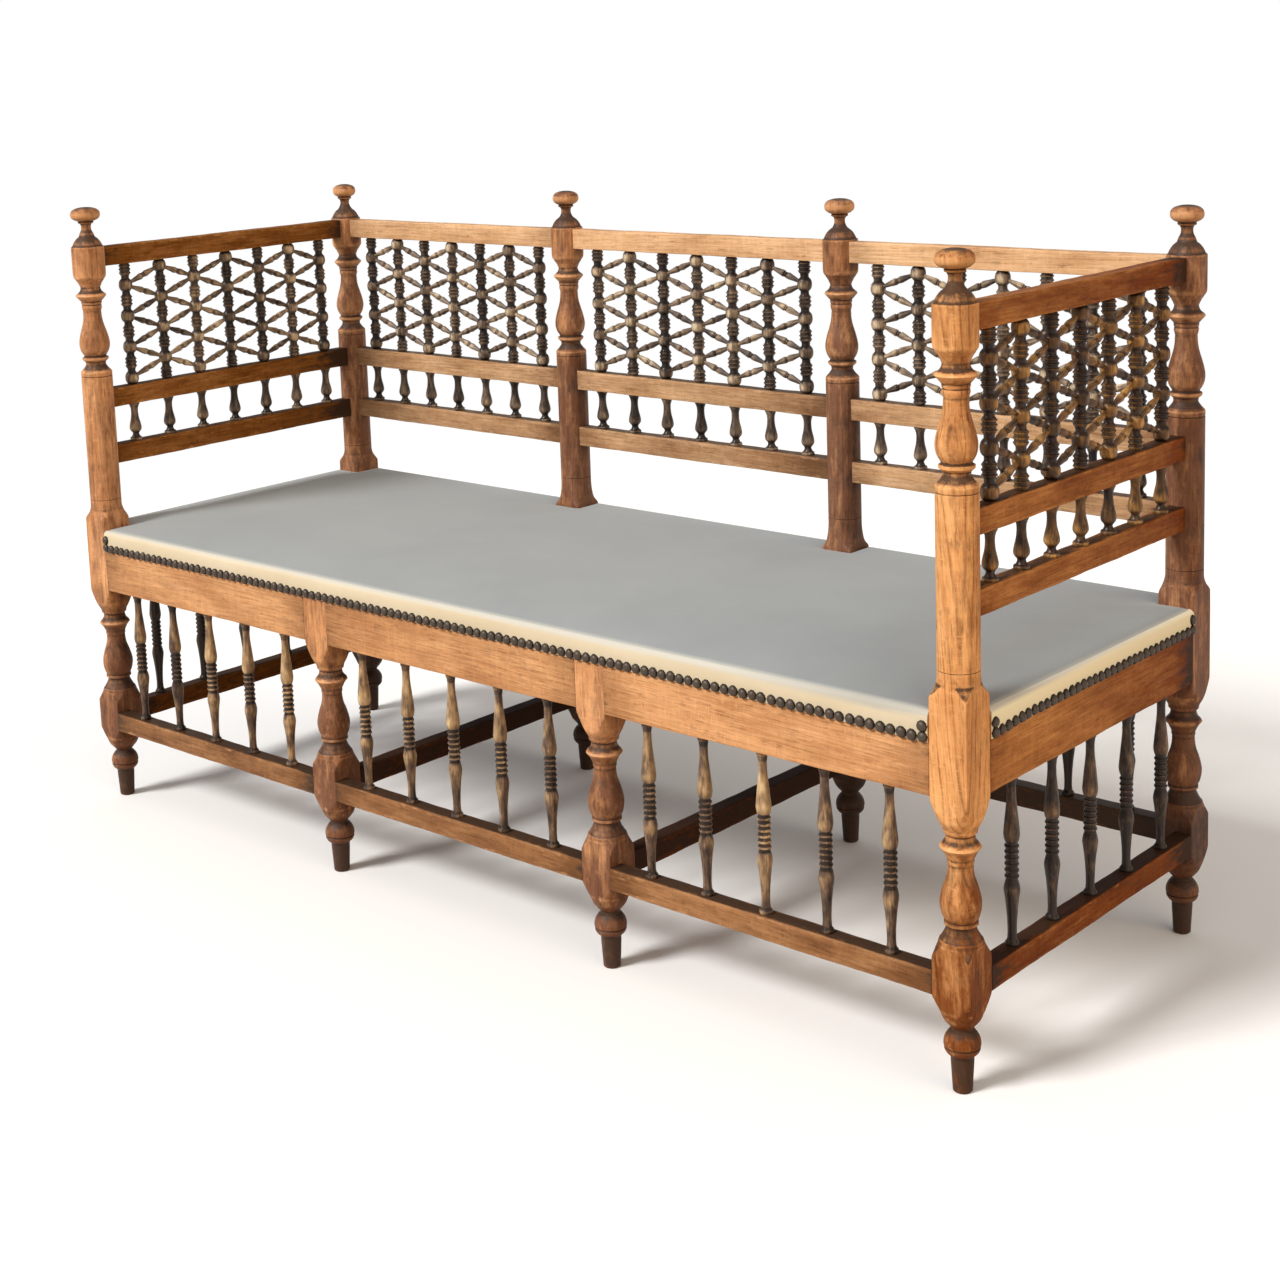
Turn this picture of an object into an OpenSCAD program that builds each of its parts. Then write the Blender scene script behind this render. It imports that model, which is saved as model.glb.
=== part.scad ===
// Spindle bench: eight turned uprights, three bays long and one bay deep, bead lattices
// in the back and the arms, and a thin nailed seat pad. Front is -Y, floor is z = 0.

/* [Frame] */
// Centre distance of neighbouring posts along the bench
bay_w = 541.7; // [520:0.1:600]
// Centre distance of the front and the back posts
bay_d = 545.6; // [520:0.1:600]
// Height of the bench over the knobs
bench_h = 975; // [970:1:990]
// Side of the square stock that posts and legs are turned from
stock = 50; // [50:0.5:53]

/* [Turning] */
// Diameter of the round columns between the seat and the arms
column_d = 49.2; // [47:0.1:49.4]
// Widest diameter of the vase turnings
vase_d = 48.6; // [44:0.1:49.4]
// Diameter of the sharp disc above or below each vase
disc_d = 48; // [44:0.5:49]
// Diameter at the narrow waist of the vases
waist_d = 29; // [27:0.5:33]
// Diameter of the barrel turning that takes the top rails
cap_d = 52; // [51:0.5:54]
// Distance across the flats cut on that barrel for the rails
cap_flat = 47; // [46:0.5:48.5]
// Diameter of the knob on each post
knob_d = 47; // [40:0.5:50]
// Diameter of the neck under the knob
knob_neck_d = 15.4; // [13:0.2:20]
// Diameter of the ball above each foot
foot_ball_d = 43.2; // [38:0.2:46]
// Diameter of the foot peg at the floor
foot_d = 23; // [20:0.5:25]

/* [Upper rails] */
// Height of an upper rail
rail_h = 31; // [28:0.5:34]
// Thickness of an upper rail
rail_t = 22; // [20:0.5:23]
// Underside of the top rails above the floor
top_rail_z = 882.5; // [870:0.5:884]
// Underside of the middle rails above the floor
mid_rail_z = 652; // [645:0.5:660]
// Underside of the lower arm and back rails above the floor
low_rail_z = 559; // [550:0.5:566]

/* [Seat frame] */
// Underside of the seat rails above the floor
seat_rail_z = 357; // [345:0.5:365]
// Height of the seat rails
seat_rail_h = 90; // [84:0.5:96]
// Thickness of the seat rails
seat_rail_t = 32; // [30:0.5:36]
// Thickness of the seat boards
board_t = 12; // [10:0.5:15]
// Width of the ledge in the seat rails that carries the boards
ledge_w = 12; // [10:0.5:14]
// Height of the two cross bearers under the boards
bearer_h = 52; // [40:1:60]
// Thickness of the cross bearers
bearer_t = 30; // [26:0.5:34]

/* [Stretchers] */
// Underside of the stretchers above the floor
stretcher_z = 119.5; // [117:0.5:124]
// Height of a stretcher
stretcher_h = 30; // [27:0.5:32]
// Thickness of a stretcher
stretcher_t = 24; // [22:0.5:28]

/* [Joints] */
// Length of the rail tenons
tenon_l = 17; // [14:0.5:17]
// Thickness of the rail tenons
tenon_t = 10; // [8:0.5:10.5]
// Shoulder above and below each tenon
tenon_shoulder = 4; // [3:0.5:6]
// Diameter of the round tenons on the small turnings
peg_d = 10; // [8:0.5:11]
// Length of those round tenons
peg_l = 12; // [9:0.5:12.5]
// Clearance of a tenon in its mortise, a side
fit_gap = 0.15; // [0.1:0.01:0.2]

/* [Lattice] */
// Number of bead spindles in a panel
lattice_n = 7; // [3:2:7]
// Centre distance of the bead spindles
lattice_gap = 68.5; // [66:0.5:72]
// Diameter of the beads
bead_d = 22; // [21:0.5:23]
// Diameter of the necks between beads and rings
bead_neck_d = 13; // [12:0.5:14]
// Diameter of the ring clusters
ring_d = 19.2; // [17:0.2:20.4]
// Widest diameter of the slanting sticks
stick_d = 9; // [8:0.2:9.6]
// Diameter of the slanting sticks where they enter a bead
stick_tip_d = 5.4; // [5:0.1:5.8]
// Diameter of the small tenons on the sticks
stick_peg_d = 4.6; // [4:0.1:4.8]

/* [Balusters and leg spindles] */
// Widest diameter of the short balusters
baluster_d = 19.6; // [17:0.2:21]
// Number of tall spindles in each bay under the seat
spindle_n = 5; // [3:1:5]
// Centre distance of the tall spindles
spindle_gap = 92; // [84:0.5:96]
// Widest diameter of the tall spindles
spindle_d = 19.4; // [17:0.2:21]

/* [Seat] */
// Height of the padding's edge above the seat rails
pad_edge_h = 9; // [7:0.5:12]
// Height of the crown of the padding above its edge
pad_crown = 13; // [6:0.5:18]
// Thickness of the cover cloth
cloth_t = 1.2; // [0.9:0.1:1.6]
// Depth of the border cloth below the top of the seat rails
hem_drop = 26; // [22:0.5:30]
// Diameter of the nail heads
nail_d = 12.5; // [10:0.1:13]
// Centre distance of the nails
nail_gap = 14.1; // [13.4:0.1:18]
// Height of the nail line below the top of the seat rails
nail_drop = 20; // [19:0.5:21]

/* [Hidden] */
$fn = 48;
bays = 3;
length = bays * bay_w;
half_l = length / 2;
half_d = bay_d / 2;
half_stock = stock / 2;
corner_r = half_stock * sqrt(2) + 0.6;
column_r = column_d / 2;
seat_top = seat_rail_z + seat_rail_h;
top_rail_top = top_rail_z + rail_h;
mid_rail_top = mid_rail_z + rail_h;
low_rail_top = low_rail_z + rail_h;
stretcher_top = stretcher_z + stretcher_h;
peg_r = peg_d / 2;
hole_extra = 0.5;
board_joint = 0.6;

// Heights of the square blocks and of the round parts between them
low_block = [stretcher_z + 1, stretcher_top + 14];
seat_block = [seat_rail_z - 1, seat_top + 25];
column_z = seat_block[1] + 22;
column_top = top_rail_z - 177;
cap_z = [top_rail_z - 15, top_rail_top + 3];

// Bead lattice: a bead starts beside a rail, and neighbours are half a pitch apart
panel_h = top_rail_z - mid_rail_top;
bead_rows = 4;
bead_end = bead_d / 2 - 0.6;
bead_pitch = (panel_h - 2 * bead_end) / (bead_rows - 0.5);
bead_step = bead_pitch / 2;
stick_len = norm([lattice_gap, bead_step]);
stick_tilt = atan2(lattice_gap, bead_step);
stick_hole_r = stick_peg_d / 2 + fit_gap;
stick_seat = sqrt(pow(bead_d / 2, 2) - pow(stick_hole_r, 2)) + 0.1;
stick_root = bead_d / 2 - 3.8;
ring_pitch = 5.5;

// Bands of rings on the tall spindles
spindle_rings = 6;
spindle_ring_pitch = 7.4;

// Positions across a rail: outer faces of seat rails and stretchers are flush with the posts
seat_rail_y = seat_rail_t / 2 - half_stock;
stretcher_y = stretcher_t / 2 - half_stock;

// Seat pad: an oblong the size of the rail frame, cut out round six posts
pad_x = half_l + half_stock;
pad_y = half_d + half_stock;
notch = stock + 0.5;
notch_half = half_stock + 0.5;
pad_edge_r = 4;
pad_slope = 150;
pad_bulge = 1.2;
cloth_gap = 0.15;
nail_h = 4;
nail_shank_r = 0.9;
nail_shank_l = 13;

wood = "#C98A4B";
dark_wood = "#6E5A48";
cloth_top = "#A6A6A3";
cloth_side = "#EFE3C3";
stuffing = "#D8CDB4";
bronze = "#3F3733";

// Curves

// One point of a smooth curve through b and c
function curve_point(a, b, c, d, t) =
    0.5 * (2 * b + (c - a) * t + (2 * a - 5 * b + 4 * c - d) * t * t + (3 * b - a - 3 * c + d) * t * t * t);

// Smooth curve through the points p, with n steps between neighbours
function curve(p, n = 3) =
    [for (i = [0:len(p) - 2]) for (j = [0:n - 1])
        curve_point(p[max(i - 1, 0)], p[i], p[i + 1], p[min(i + 2, len(p) - 1)], j / n),
        p[len(p) - 1]];

// The outline shifted up by z
function raised(p, z) = [for (q = p) [q[0], q[1] + z]];

// The outline run backwards with its heights negated
function mirrored(p) = [for (i = [len(p) - 1:-1:0]) [p[i][0], -p[i][1]]];

// Solid turned about the z axis from points of radius and height
module turned(outline) {
    rotate_extrude()
        polygon(outline);
}

// Outlines of the posts, as radius and height

// Foot peg, ball and the rounding up to the lower block
function foot_outline() = concat(
    [[0, 0], [foot_d / 2 - 1.5, 0], [foot_d / 2, 1.5], [foot_d / 2 + 2.3, 37]],
    curve([[15.6, 41], [foot_ball_d / 2 - 1.2, 49], [foot_ball_d / 2, 57],
        [foot_ball_d / 2 - 2, 66], [15.4, 73]]),
    [[13.2, 76], [13.2, 79]],
    curve([[16.4, 83], [22, 90], [26.8, low_block[0] - 19], [corner_r, low_block[0]]]));

// Vase between the lower block and the seat block
function low_vase_outline(a, b) = concat(
    curve([[corner_r, a], [28.2, a + 14], [25.4, a + 22]]),
    [[24.2, a + 23]],
    curve([[20, a + 30], [17.2, a + 37], [18.2, a + 40]]),
    [[19.8, a + 41], [19.8, a + 44]],
    curve([[18.8, a + 45], [vase_d / 2 - 2, a + 53], [vase_d / 2, a + 67],
        [vase_d / 2 - 3.6, a + 84], [waist_d / 2 + 1.8, a + 97], [waist_d / 2, b - 81]]),
    [[waist_d / 2 + 1, b - 78], [waist_d / 2 + 1, b - 74]],
    curve([[16.4, b - 72], [disc_d / 2 - 4, b - 65], [disc_d / 2, b - 60]]),
    curve([[disc_d / 2 - 1.2, b - 57.5], [18.2, b - 52], [16.5, b - 45]]),
    [[19.5, b - 42], [20.4, b - 37]],
    curve([[21, b - 36], [25.4, b - 28], [29.8, b - 17], [corner_r, b]]));

// Flare from the seat block to the column, with a scribed line above it
function column_outline(a, b) = concat(
    curve([[corner_r, a], [28.4, a + 10], [column_r, column_z]]),
    [[column_r, column_z + 9.5], [column_r - 0.6, column_z + 10], [column_r, column_z + 10.5],
        [column_r, b]]);

// Ring, vase, waist and disc between the column and the cap
function high_vase_outline(b) = concat(
    [[column_r - 1, b + 0.6], [column_r, b + 2], [column_r, b + 8], [column_r - 1.4, b + 9.6]],
    curve([[20, b + 13], [16, b + 19], [16.2, b + 24]]),
    [[20.6, b + 28], [20.8, b + 31], [17.4, b + 33]],
    curve([[18, b + 35], [vase_d / 2 - 1.8, b + 43], [vase_d / 2, b + 54],
        [vase_d / 2 - 2.4, b + 68], [waist_d / 2 + 1.4, b + 89], [waist_d / 2 - 0.4, b + 106]]),
    [[waist_d / 2 + 1.2, b + 112], [waist_d / 2 + 1.2, b + 115],
        [waist_d / 2 + 0.5, b + 116], [waist_d / 2 + 1.6, b + 119], [waist_d / 2 + 1.6, b + 122]],
    curve([[17, b + 123], [disc_d / 2 - 3.4, b + 127], [disc_d / 2, b + 131]]),
    curve([[disc_d / 2 - 1, b + 133.4], [17.6, b + 138], [15.4, b + 144]]));

// Barrel that takes the top rails
function cap_outline(a, b) = concat(
    curve([[15.6, a - 17], [18.8, a - 10], [21.6, a - 6]]),
    curve([[22.2, a - 4.6], [cap_d / 2 - 0.8, a], [cap_d / 2, a + 7]]),
    [[cap_d / 2, b - 1.5], [cap_d / 2 - 0.9, b - 0.4], [cap_d / 2 - 0.9, b + 0.6]],
    curve([[cap_d / 2 - 1.2, b + 1], [cap_d / 2 - 4, b + 7], [16, b + 14]]));

// Neck and knob, down from the top h
function knob_outline(h) = concat(
    curve([[12, h - 42], [knob_neck_d / 2 + 0.4, h - 37], [knob_neck_d / 2, h - 31],
        [knob_neck_d / 2 + 1.6, h - 27]]),
    [[12.4, h - 25.6], [13.4, h - 23.6]],
    curve([[14, h - 22.6], [knob_d / 2 - 2.6, h - 17], [knob_d / 2, h - 11.5],
        [knob_d / 2 - 3.4, h - 5], [knob_d / 4, h - 1.2], [0, h]]));

function leg_outline() = concat(foot_outline(), low_vase_outline(low_block[1], seat_block[0]));

function post_outline() = concat(leg_outline(),
    column_outline(seat_block[1], column_top),
    high_vase_outline(column_top),
    cap_outline(cap_z[0], cap_z[1]),
    knob_outline(bench_h));

// Tenons and mortises

// Box of a tenon that points along +X and whose shoulder is at x = 0
module tenon(h, grow = 0) {
    translate([-tenon_l - grow, -tenon_t / 2 - grow, tenon_shoulder - grow])
        cube([tenon_l + 2 * grow + 6, tenon_t + 2 * grow, h - 2 * tenon_shoulder + 2 * grow]);
}

// Mortise for a rail that leaves a post towards the angle, dist from the post's axis
module mortise(angle, dist, z, h, across = 0) {
    rotate([0, 0, angle])
        translate([dist, across, z])
            tenon(h, fit_gap);
}

// Mortises of the three upper rails
module upper_mortises(angle) {
    mortise(angle, cap_flat / 2, top_rail_z, rail_h);
    mortise(angle, column_r, mid_rail_z, rail_h);
    mortise(angle, column_r, low_rail_z, rail_h);
}

// Mortises of a seat rail and a stretcher, on the side that the sign names
module lower_mortises(angle, side) {
    mortise(angle, half_stock, seat_rail_z, seat_rail_h, side * seat_rail_y);
    mortise(angle, half_stock, stretcher_z, stretcher_h, side * stretcher_y);
}

// Mortises of a bearer and a cross stretcher
module cross_mortises(angle) {
    mortise(angle, half_stock, seat_top - board_t - bearer_h, bearer_h);
    mortise(angle, half_stock, stretcher_z, stretcher_h);
}

// Square block h high and w wide, centred on the z axis
module block(w, z, h) {
    translate([-w / 2, -w / 2, z])
        cube([w, w, h]);
}

// Full-height post: the flats of its blocks and of its cap are left from the square stock
module post() {
    thin = [cap_z[0] - 26, cap_z[1] + 14];
    intersection() {
        turned(post_outline());
        union() {
            block(stock, 0, thin[0]);
            block(cap_flat, thin[0], thin[1] - thin[0]);
            block(2 * knob_d, thin[1], bench_h - thin[1] + 1);
        }
    }
}

// Short front leg, cut off flush with the seat rails
module leg() {
    intersection() {
        turned(concat(leg_outline(), [[corner_r, seat_top], [0, seat_top]]));
        block(stock, 0, seat_top);
    }
}

// Corner post, drawn for the front left corner with rails towards +X and +Y
module corner_post() {
    color(wood)
        difference() {
            post();
            upper_mortises(90);
            lower_mortises(0, 1);
            lower_mortises(90, -1);
            children();
        }
}

module post_front_left() {
    translate([-half_l, -half_d, 0])
        corner_post();
}

module post_front_right() {
    mirror([1, 0, 0])
        post_front_left();
}

module post_back_left() {
    mirror([0, 1, 0])
        translate([-half_l, -half_d, 0])
            corner_post()
                upper_mortises(0);
}

module post_back_right() {
    mirror([1, 0, 0])
        post_back_left();
}

module post_back_inner_left() {
    color(wood)
        translate([-bay_w / 2, half_d, 0])
            difference() {
                post();
                upper_mortises(0);
                upper_mortises(180);
                lower_mortises(0, -1);
                lower_mortises(180, 1);
                cross_mortises(270);
            }
}

module post_back_inner_right() {
    mirror([1, 0, 0])
        post_back_inner_left();
}

module leg_front_inner_left() {
    color(wood)
        difference() {
            translate([-bay_w / 2, -half_d, 0])
                difference() {
                    leg();
                    lower_mortises(0, 1);
                    lower_mortises(180, -1);
                    cross_mortises(90);
                }
            front_nail_holes(-bay_w / 2);
        }
}

module leg_front_inner_right() {
    mirror([1, 0, 0])
        leg_front_inner_left();
}

// Rails, drawn along X between two posts, with the outer face towards -Y

// Plain rail with square shoulders, dist from each post's axis, and a tenon at each end
module square_rail(span, dist, z, h, t, across = 0) {
    reach = span / 2 - dist - fit_gap;
    translate([0, across, z]) {
        translate([-reach, -t / 2, 0])
            cube([2 * reach, t, h]);
        for (turn = [0, 180])
            rotate([0, 0, turn])
                translate([-reach, 0, 0])
                    tenon(h);
    }
}

// Rail whose shoulders are hollowed to fit the round columns
module coped_rail(span, z, h, t) {
    difference() {
        translate([-span / 2, -t / 2, z])
            cube([span, t, h]);
        for (end = [-1, 1])
            translate([end * span / 2, 0, z - 1])
                cylinder(r = column_r + fit_gap, h = h + 2);
    }
    for (turn = [0, 180])
        rotate([0, 0, turn])
            translate([-span / 2 + column_r + fit_gap, 0, z])
                tenon(h);
}

// Row of n bored holes, a gap apart, from z upwards
module bores(n, gap, z, across = 0) {
    for (i = [0:n - 1])
        translate([(i - (n - 1) / 2) * gap, across, z])
            cylinder(r = peg_r + fit_gap, h = peg_l + hole_extra + 1);
}

module lattice_bores(z) {
    bores(lattice_n, lattice_gap, z);
}

module top_rail(span) {
    color(wood)
        difference() {
            square_rail(span, cap_flat / 2, top_rail_z, rail_h, rail_t);
            lattice_bores(top_rail_z - 1);
        }
}

module middle_rail(span) {
    color(wood)
        difference() {
            coped_rail(span, mid_rail_z, rail_h, rail_t);
            lattice_bores(mid_rail_top - peg_l - hole_extra);
            lattice_bores(mid_rail_z - 1);
        }
}

module lower_rail(span) {
    color(wood)
        difference() {
            coped_rail(span, low_rail_z, rail_h, rail_t);
            lattice_bores(low_rail_top - peg_l - hole_extra);
        }
}

module seat_rail(span) {
    color(wood)
        difference() {
            square_rail(span, half_stock, seat_rail_z, seat_rail_h, seat_rail_t, seat_rail_y);
            translate([-span / 2, seat_rail_t - half_stock - ledge_w, seat_top - board_t])
                cube([span, ledge_w + 1, board_t + 1]);
            bores(spindle_n, spindle_gap, seat_rail_z - 1, stretcher_y);
        }
}

module stretcher(span) {
    color(wood)
        difference() {
            square_rail(span, half_stock, stretcher_z, stretcher_h, stretcher_t, stretcher_y);
            bores(spindle_n, spindle_gap, stretcher_top - peg_l - hole_extra, stretcher_y);
        }
}

// Places: bay i of the front or the back, and the two sides
module front_bay(i) {
    translate([(i - 1) * bay_w, -half_d, 0])
        children();
}

module back_bay(i) {
    translate([(i - 1) * bay_w, half_d, 0])
        rotate([0, 0, 180])
            children();
}

module left_side() {
    translate([-half_l, 0, 0])
        rotate([0, 0, -90])
            children();
}

module right_side() {
    translate([half_l, 0, 0])
        rotate([0, 0, 90])
            children();
}

module all_front() {
    for (i = [0:bays - 1])
        front_bay(i)
            children();
}

module all_back() {
    for (i = [0:bays - 1])
        back_bay(i)
            children();
}

// Seat rails with the holes of the nails that stand in them
module nailed_seat_rails_front() {
    difference() {
        all_front() seat_rail(bay_w);
        front_nail_holes();
    }
}

module nailed_seat_rails_back() {
    difference() {
        all_back() seat_rail(bay_w);
        all_back() nail_places(bay_w) nail_hole();
    }
}

module nailed_side_rail() {
    difference() {
        seat_rail(bay_d);
        nail_places(bay_d) nail_hole();
    }
}

// Bearer and cross stretcher between a front leg and a back inner post
module cross_place(side) {
    translate([side * bay_w / 2, 0, 0])
        rotate([0, 0, 90])
            children();
}

module seat_bearer() {
    color(wood)
        square_rail(bay_d, half_stock, seat_top - board_t - bearer_h, bearer_h, bearer_t);
}

module cross_stretcher() {
    color(wood)
        square_rail(bay_d, half_stock, stretcher_z, stretcher_h, stretcher_t);
}

// Boards that fill the seat frame, one to a bay, cut out round the posts
module seat_boards() {
    edge = half_stock - seat_rail_t + ledge_w - fit_gap;
    color(wood)
        translate([0, 0, seat_top - board_t])
            linear_extrude(board_t)
                difference() {
                    square([length + 2 * edge, bay_d + 2 * edge], center = true);
                    for (i = [0:bays])
                        translate([(i - bays / 2) * bay_w, 0]) {
                            for (side = [-1, 1])
                                translate([0, side * half_d])
                                    square(stock + 2 * fit_gap, center = true);
                            if (i > 0 && i < bays)
                                square([board_joint, bay_d], center = true);
                        }
                }
}

// Bead lattice, drawn along X with z from the top of the middle rail

// Three rings with grooves between them
function ring_outline(z) = [for (i = [-1:1])
    for (q = [[ring_d / 2 - 2.6, -2.3], [ring_d / 2 - abs(i) * 0.6, -1.3],
        [ring_d / 2 - abs(i) * 0.6, 1.3], [ring_d / 2 - 2.6, 2.3]])
        [q[0], q[1] + z + i * ring_pitch]];

// Neck of a bead spindle with its rings, half a pitch from each bead
function neck_outline() = let (r = bead_neck_d / 2, run = 1.5 * ring_pitch + 0.8) concat(
    [[0, -peg_l], [peg_r, -peg_l], [peg_r, 0], [r, 0]],
    [for (k = [0:bead_rows - 1])
        let (z = bead_end + (k + 0.5) * bead_pitch)
            for (q = concat([[r, z - run]], ring_outline(z), [[r, z + run]]))
                q],
    [[r, panel_h], [peg_r, panel_h], [peg_r, panel_h + peg_l], [0, panel_h + peg_l]]);

// Bead spindle whose lowest bead sits on the middle rail
module lone_bead_spindle() {
    turned(neck_outline());
    for (k = [0:bead_rows - 1])
        translate([0, 0, bead_end + k * bead_pitch])
            sphere(d = bead_d);
}

// Direction of a stick from a bead: to side -1 or 1 and up or down
module along_stick(side, up) {
    rotate([0, side * (up > 0 ? stick_tilt : 180 - stick_tilt), 0])
        children();
}

// Spindle s of the panel, every second one upside down, with the sockets of its sticks
module bead_spindle(s) {
    difference() {
        if (s % 2 == 0)
            lone_bead_spindle();
        else
            translate([0, 0, panel_h])
                mirror([0, 0, 1])
                    lone_bead_spindle();
        for (j = [s % 2:2:2 * bead_rows - 1])
            for (side = [-1, 1])
                for (up = [-1, 1])
                    if (s + side >= 0 && s + side < lattice_n && j + up >= 0 && j + up < 2 * bead_rows)
                        translate([0, 0, bead_end + j * bead_step])
                            along_stick(side, up)
                                translate([0, 0, stick_root - 0.2])
                                    cylinder(r = stick_hole_r, h = bead_d / 2);
    }
}

module beads() {
    color(dark_wood)
        translate([0, 0, mid_rail_top])
            for (s = [0:lattice_n - 1])
                translate([(s - (lattice_n - 1) / 2) * lattice_gap, 0, 0])
                    bead_spindle(s);
}

// Half of a stick's outline, from the groove at its middle to the end of its tenon
function half_stick_outline() = let (r = stick_d / 2, seat = stick_len / 2 - stick_seat)
    [[r - 1.5, 0.7], [r, 1.4], [r, 7], [r - 0.5, 12], [stick_tip_d / 2, seat],
        [stick_peg_d / 2, seat], [stick_peg_d / 2, stick_len / 2 - stick_root],
        [0, stick_len / 2 - stick_root]];

module stick() {
    turned(concat(mirrored(half_stick_outline()), half_stick_outline()));
}

module sticks() {
    color(dark_wood)
        translate([0, 0, mid_rail_top])
            for (g = [0:lattice_n - 2])
                for (m = [0:2 * bead_rows - 2])
                    translate([(g - (lattice_n - 2) / 2) * lattice_gap, 0,
                        bead_end + (m + 0.5) * bead_step])
                        along_stick((m + g) % 2 == 0 ? 1 : -1, 1)
                            stick();
}

// Short balusters between the lower and the middle rails
function baluster_outline(h) = let (r = baluster_d / 2) concat(
    [[0, -peg_l], [peg_r, -peg_l], [peg_r, 0], [r - 0.6, 0], [r, 1], [r, 3.4], [r - 0.8, 4.6]],
    curve([[r - 2.6, 5.4], [r - 4.4, 9], [r - 4.2, 12], [r - 0.8, 16.5], [r, 21], [r - 1.2, 28],
        [r - 3.3, 37], [r - 4.1, 47], [r - 3.6, h - 8]]),
    [[r - 2.8, h - 7], [r - 2.8, h - 5.6], [r - 0.9, h - 2], [r - 0.9, h], [peg_r, h], [peg_r, h + peg_l],
        [0, h + peg_l]]);

module balusters() {
    color(dark_wood)
        for (i = [0:lattice_n - 1])
            translate([(i - (lattice_n - 1) / 2) * lattice_gap, 0, low_rail_top])
                turned(baluster_outline(mid_rail_z - low_rail_top));
}

// Tall spindles between the stretchers and the seat rails
function spindle_ring_outline(z) = [for (i = [0:spindle_rings - 1])
    for (q = [[spindle_d / 2 - 1.8, 0.4], [spindle_d / 2, 1.4], [spindle_d / 2, 6],
        [spindle_d / 2 - 1.8, 7]])
        [q[0], q[1] + z + i * spindle_ring_pitch]];

function spindle_outline(h) = let (r = spindle_d / 2, z = (h - spindle_rings * spindle_ring_pitch) / 2) concat(
    [[0, -peg_l], [peg_r, -peg_l], [peg_r, 0], [r - 0.5, 0], [r, 1.2], [r, 5], [r - 1.4, 8]],
    curve([[r - 2.2, 10], [r - 3.6, 18], [r - 3, 36], [r, z - 12], [r - 0.5, z - 2]]),
    spindle_ring_outline(z),
    curve([[r - 0.5, h - z + 2], [r, h - z + 10], [r - 2.6, h - 36], [r - 3.6, h - 16]]),
    [[r - 2.4, h - 10], [r - 2.4, h - 8], [r - 1, h - 3], [r - 1, h], [peg_r, h], [peg_r, h + peg_l],
        [0, h + peg_l]]);

module spindles() {
    color(dark_wood)
        for (i = [0:spindle_n - 1])
            translate([(i - (spindle_n - 1) / 2) * spindle_gap, stretcher_y, stretcher_top])
                turned(spindle_outline(seat_rail_z - stretcher_top));
}

// Seat pad

// Distance of a point of the plan from the nearest outer side
function side_distance(x, y) = max(0, min(pad_x - abs(x), pad_y - abs(y)));

// Distance of a point from the nearest cut-out round a post
function notch_distance(x, y) = min(
    norm([max(pad_x - notch - abs(x), 0), max(pad_y - notch - abs(y), 0)]),
    norm([max(abs(abs(x) - bay_w / 2) - notch_half, 0), max(pad_y - notch - y, 0)]));

// Height of the top of the padding: a rounded edge and a slow crown
function pad_top(x, y) = let (
    d = min(1, side_distance(x, y) / pad_edge_r),
    c = min(1, min(side_distance(x, y), notch_distance(x, y)) / pad_slope))
    seat_top + pad_edge_h - pad_edge_r * (1 - sqrt(1 - pow(1 - d, 2))) + pad_crown * (1 - pow(1 - c, 2));

// Lines of the pad's grid, closer together at its edges and at the cut-outs
pad_half_lines = [pad_x, pad_x - 1.2, pad_x - pad_edge_r, pad_x - 18, pad_x - notch,
    half_l * 0.82, half_l * 0.64, half_l * 0.48, bay_w / 2 + notch_half, bay_w / 2 - notch_half,
    bay_w * 0.2];
pad_xs = concat([for (x = pad_half_lines) -x],
    [for (i = [len(pad_half_lines) - 1:-1:0]) pad_half_lines[i]]);
pad_half_rows = [pad_y, pad_y - 1.2, pad_y - pad_edge_r, pad_y - 18, pad_y - notch, half_d * 0.5];
pad_ys = concat([for (y = pad_half_rows) -y], [0],
    [for (i = [len(pad_half_rows) - 1:-1:0]) pad_half_rows[i]]);
pad_nx = len(pad_xs);
pad_ny = len(pad_ys);

// Whether the cell with its low corner at line i, row j lies on the seat
function pad_cell(i, j) = i >= 0 && j >= 0 && i < pad_nx - 1 && j < pad_ny - 1
    && notch_distance((pad_xs[i] + pad_xs[i + 1]) / 2, (pad_ys[j] + pad_ys[j + 1]) / 2) > 0;

function pad_index(i, j, k) = (k * pad_nx + i) * pad_ny + j;

// Outward unit step of a grid point on an outer side
function pad_out(i, j) = [i == 0 ? -1 : i == pad_nx - 1 ? 1 : 0, j == 0 ? -1 : j == pad_ny - 1 ? 1 : 0, 0];

function pad_wall(a, b, levels) = [for (k = [0:levels - 1])
    for (t = [[0, 1, 2], [0, 2, 3]])
        let (q = [pad_index(a[0], a[1], k), pad_index(a[0], a[1], k + 1),
            pad_index(b[0], b[1], k + 1), pad_index(b[0], b[1], k)])
            [q[t[0]], q[t[1]], q[t[2]]]];

// Faces of the body over the grid, with its side walls in levels
function pad_faces(levels) = [for (i = [0:pad_nx - 2]) for (j = [0:pad_ny - 2]) if (pad_cell(i, j))
    for (f = concat(
        [[pad_index(i, j, levels), pad_index(i, j + 1, levels), pad_index(i + 1, j + 1, levels)],
            [pad_index(i, j, levels), pad_index(i + 1, j + 1, levels), pad_index(i + 1, j, levels)],
            [pad_index(i, j, 0), pad_index(i + 1, j, 0), pad_index(i + 1, j + 1, 0)],
            [pad_index(i, j, 0), pad_index(i + 1, j + 1, 0), pad_index(i, j + 1, 0)]],
        pad_cell(i, j - 1) ? [] : pad_wall([i, j], [i + 1, j], levels),
        pad_cell(i, j + 1) ? [] : pad_wall([i + 1, j + 1], [i, j + 1], levels),
        pad_cell(i - 1, j) ? [] : pad_wall([i, j + 1], [i, j], levels),
        pad_cell(i + 1, j) ? [] : pad_wall([i + 1, j], [i + 1, j + 1], levels)))
        f];

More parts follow.
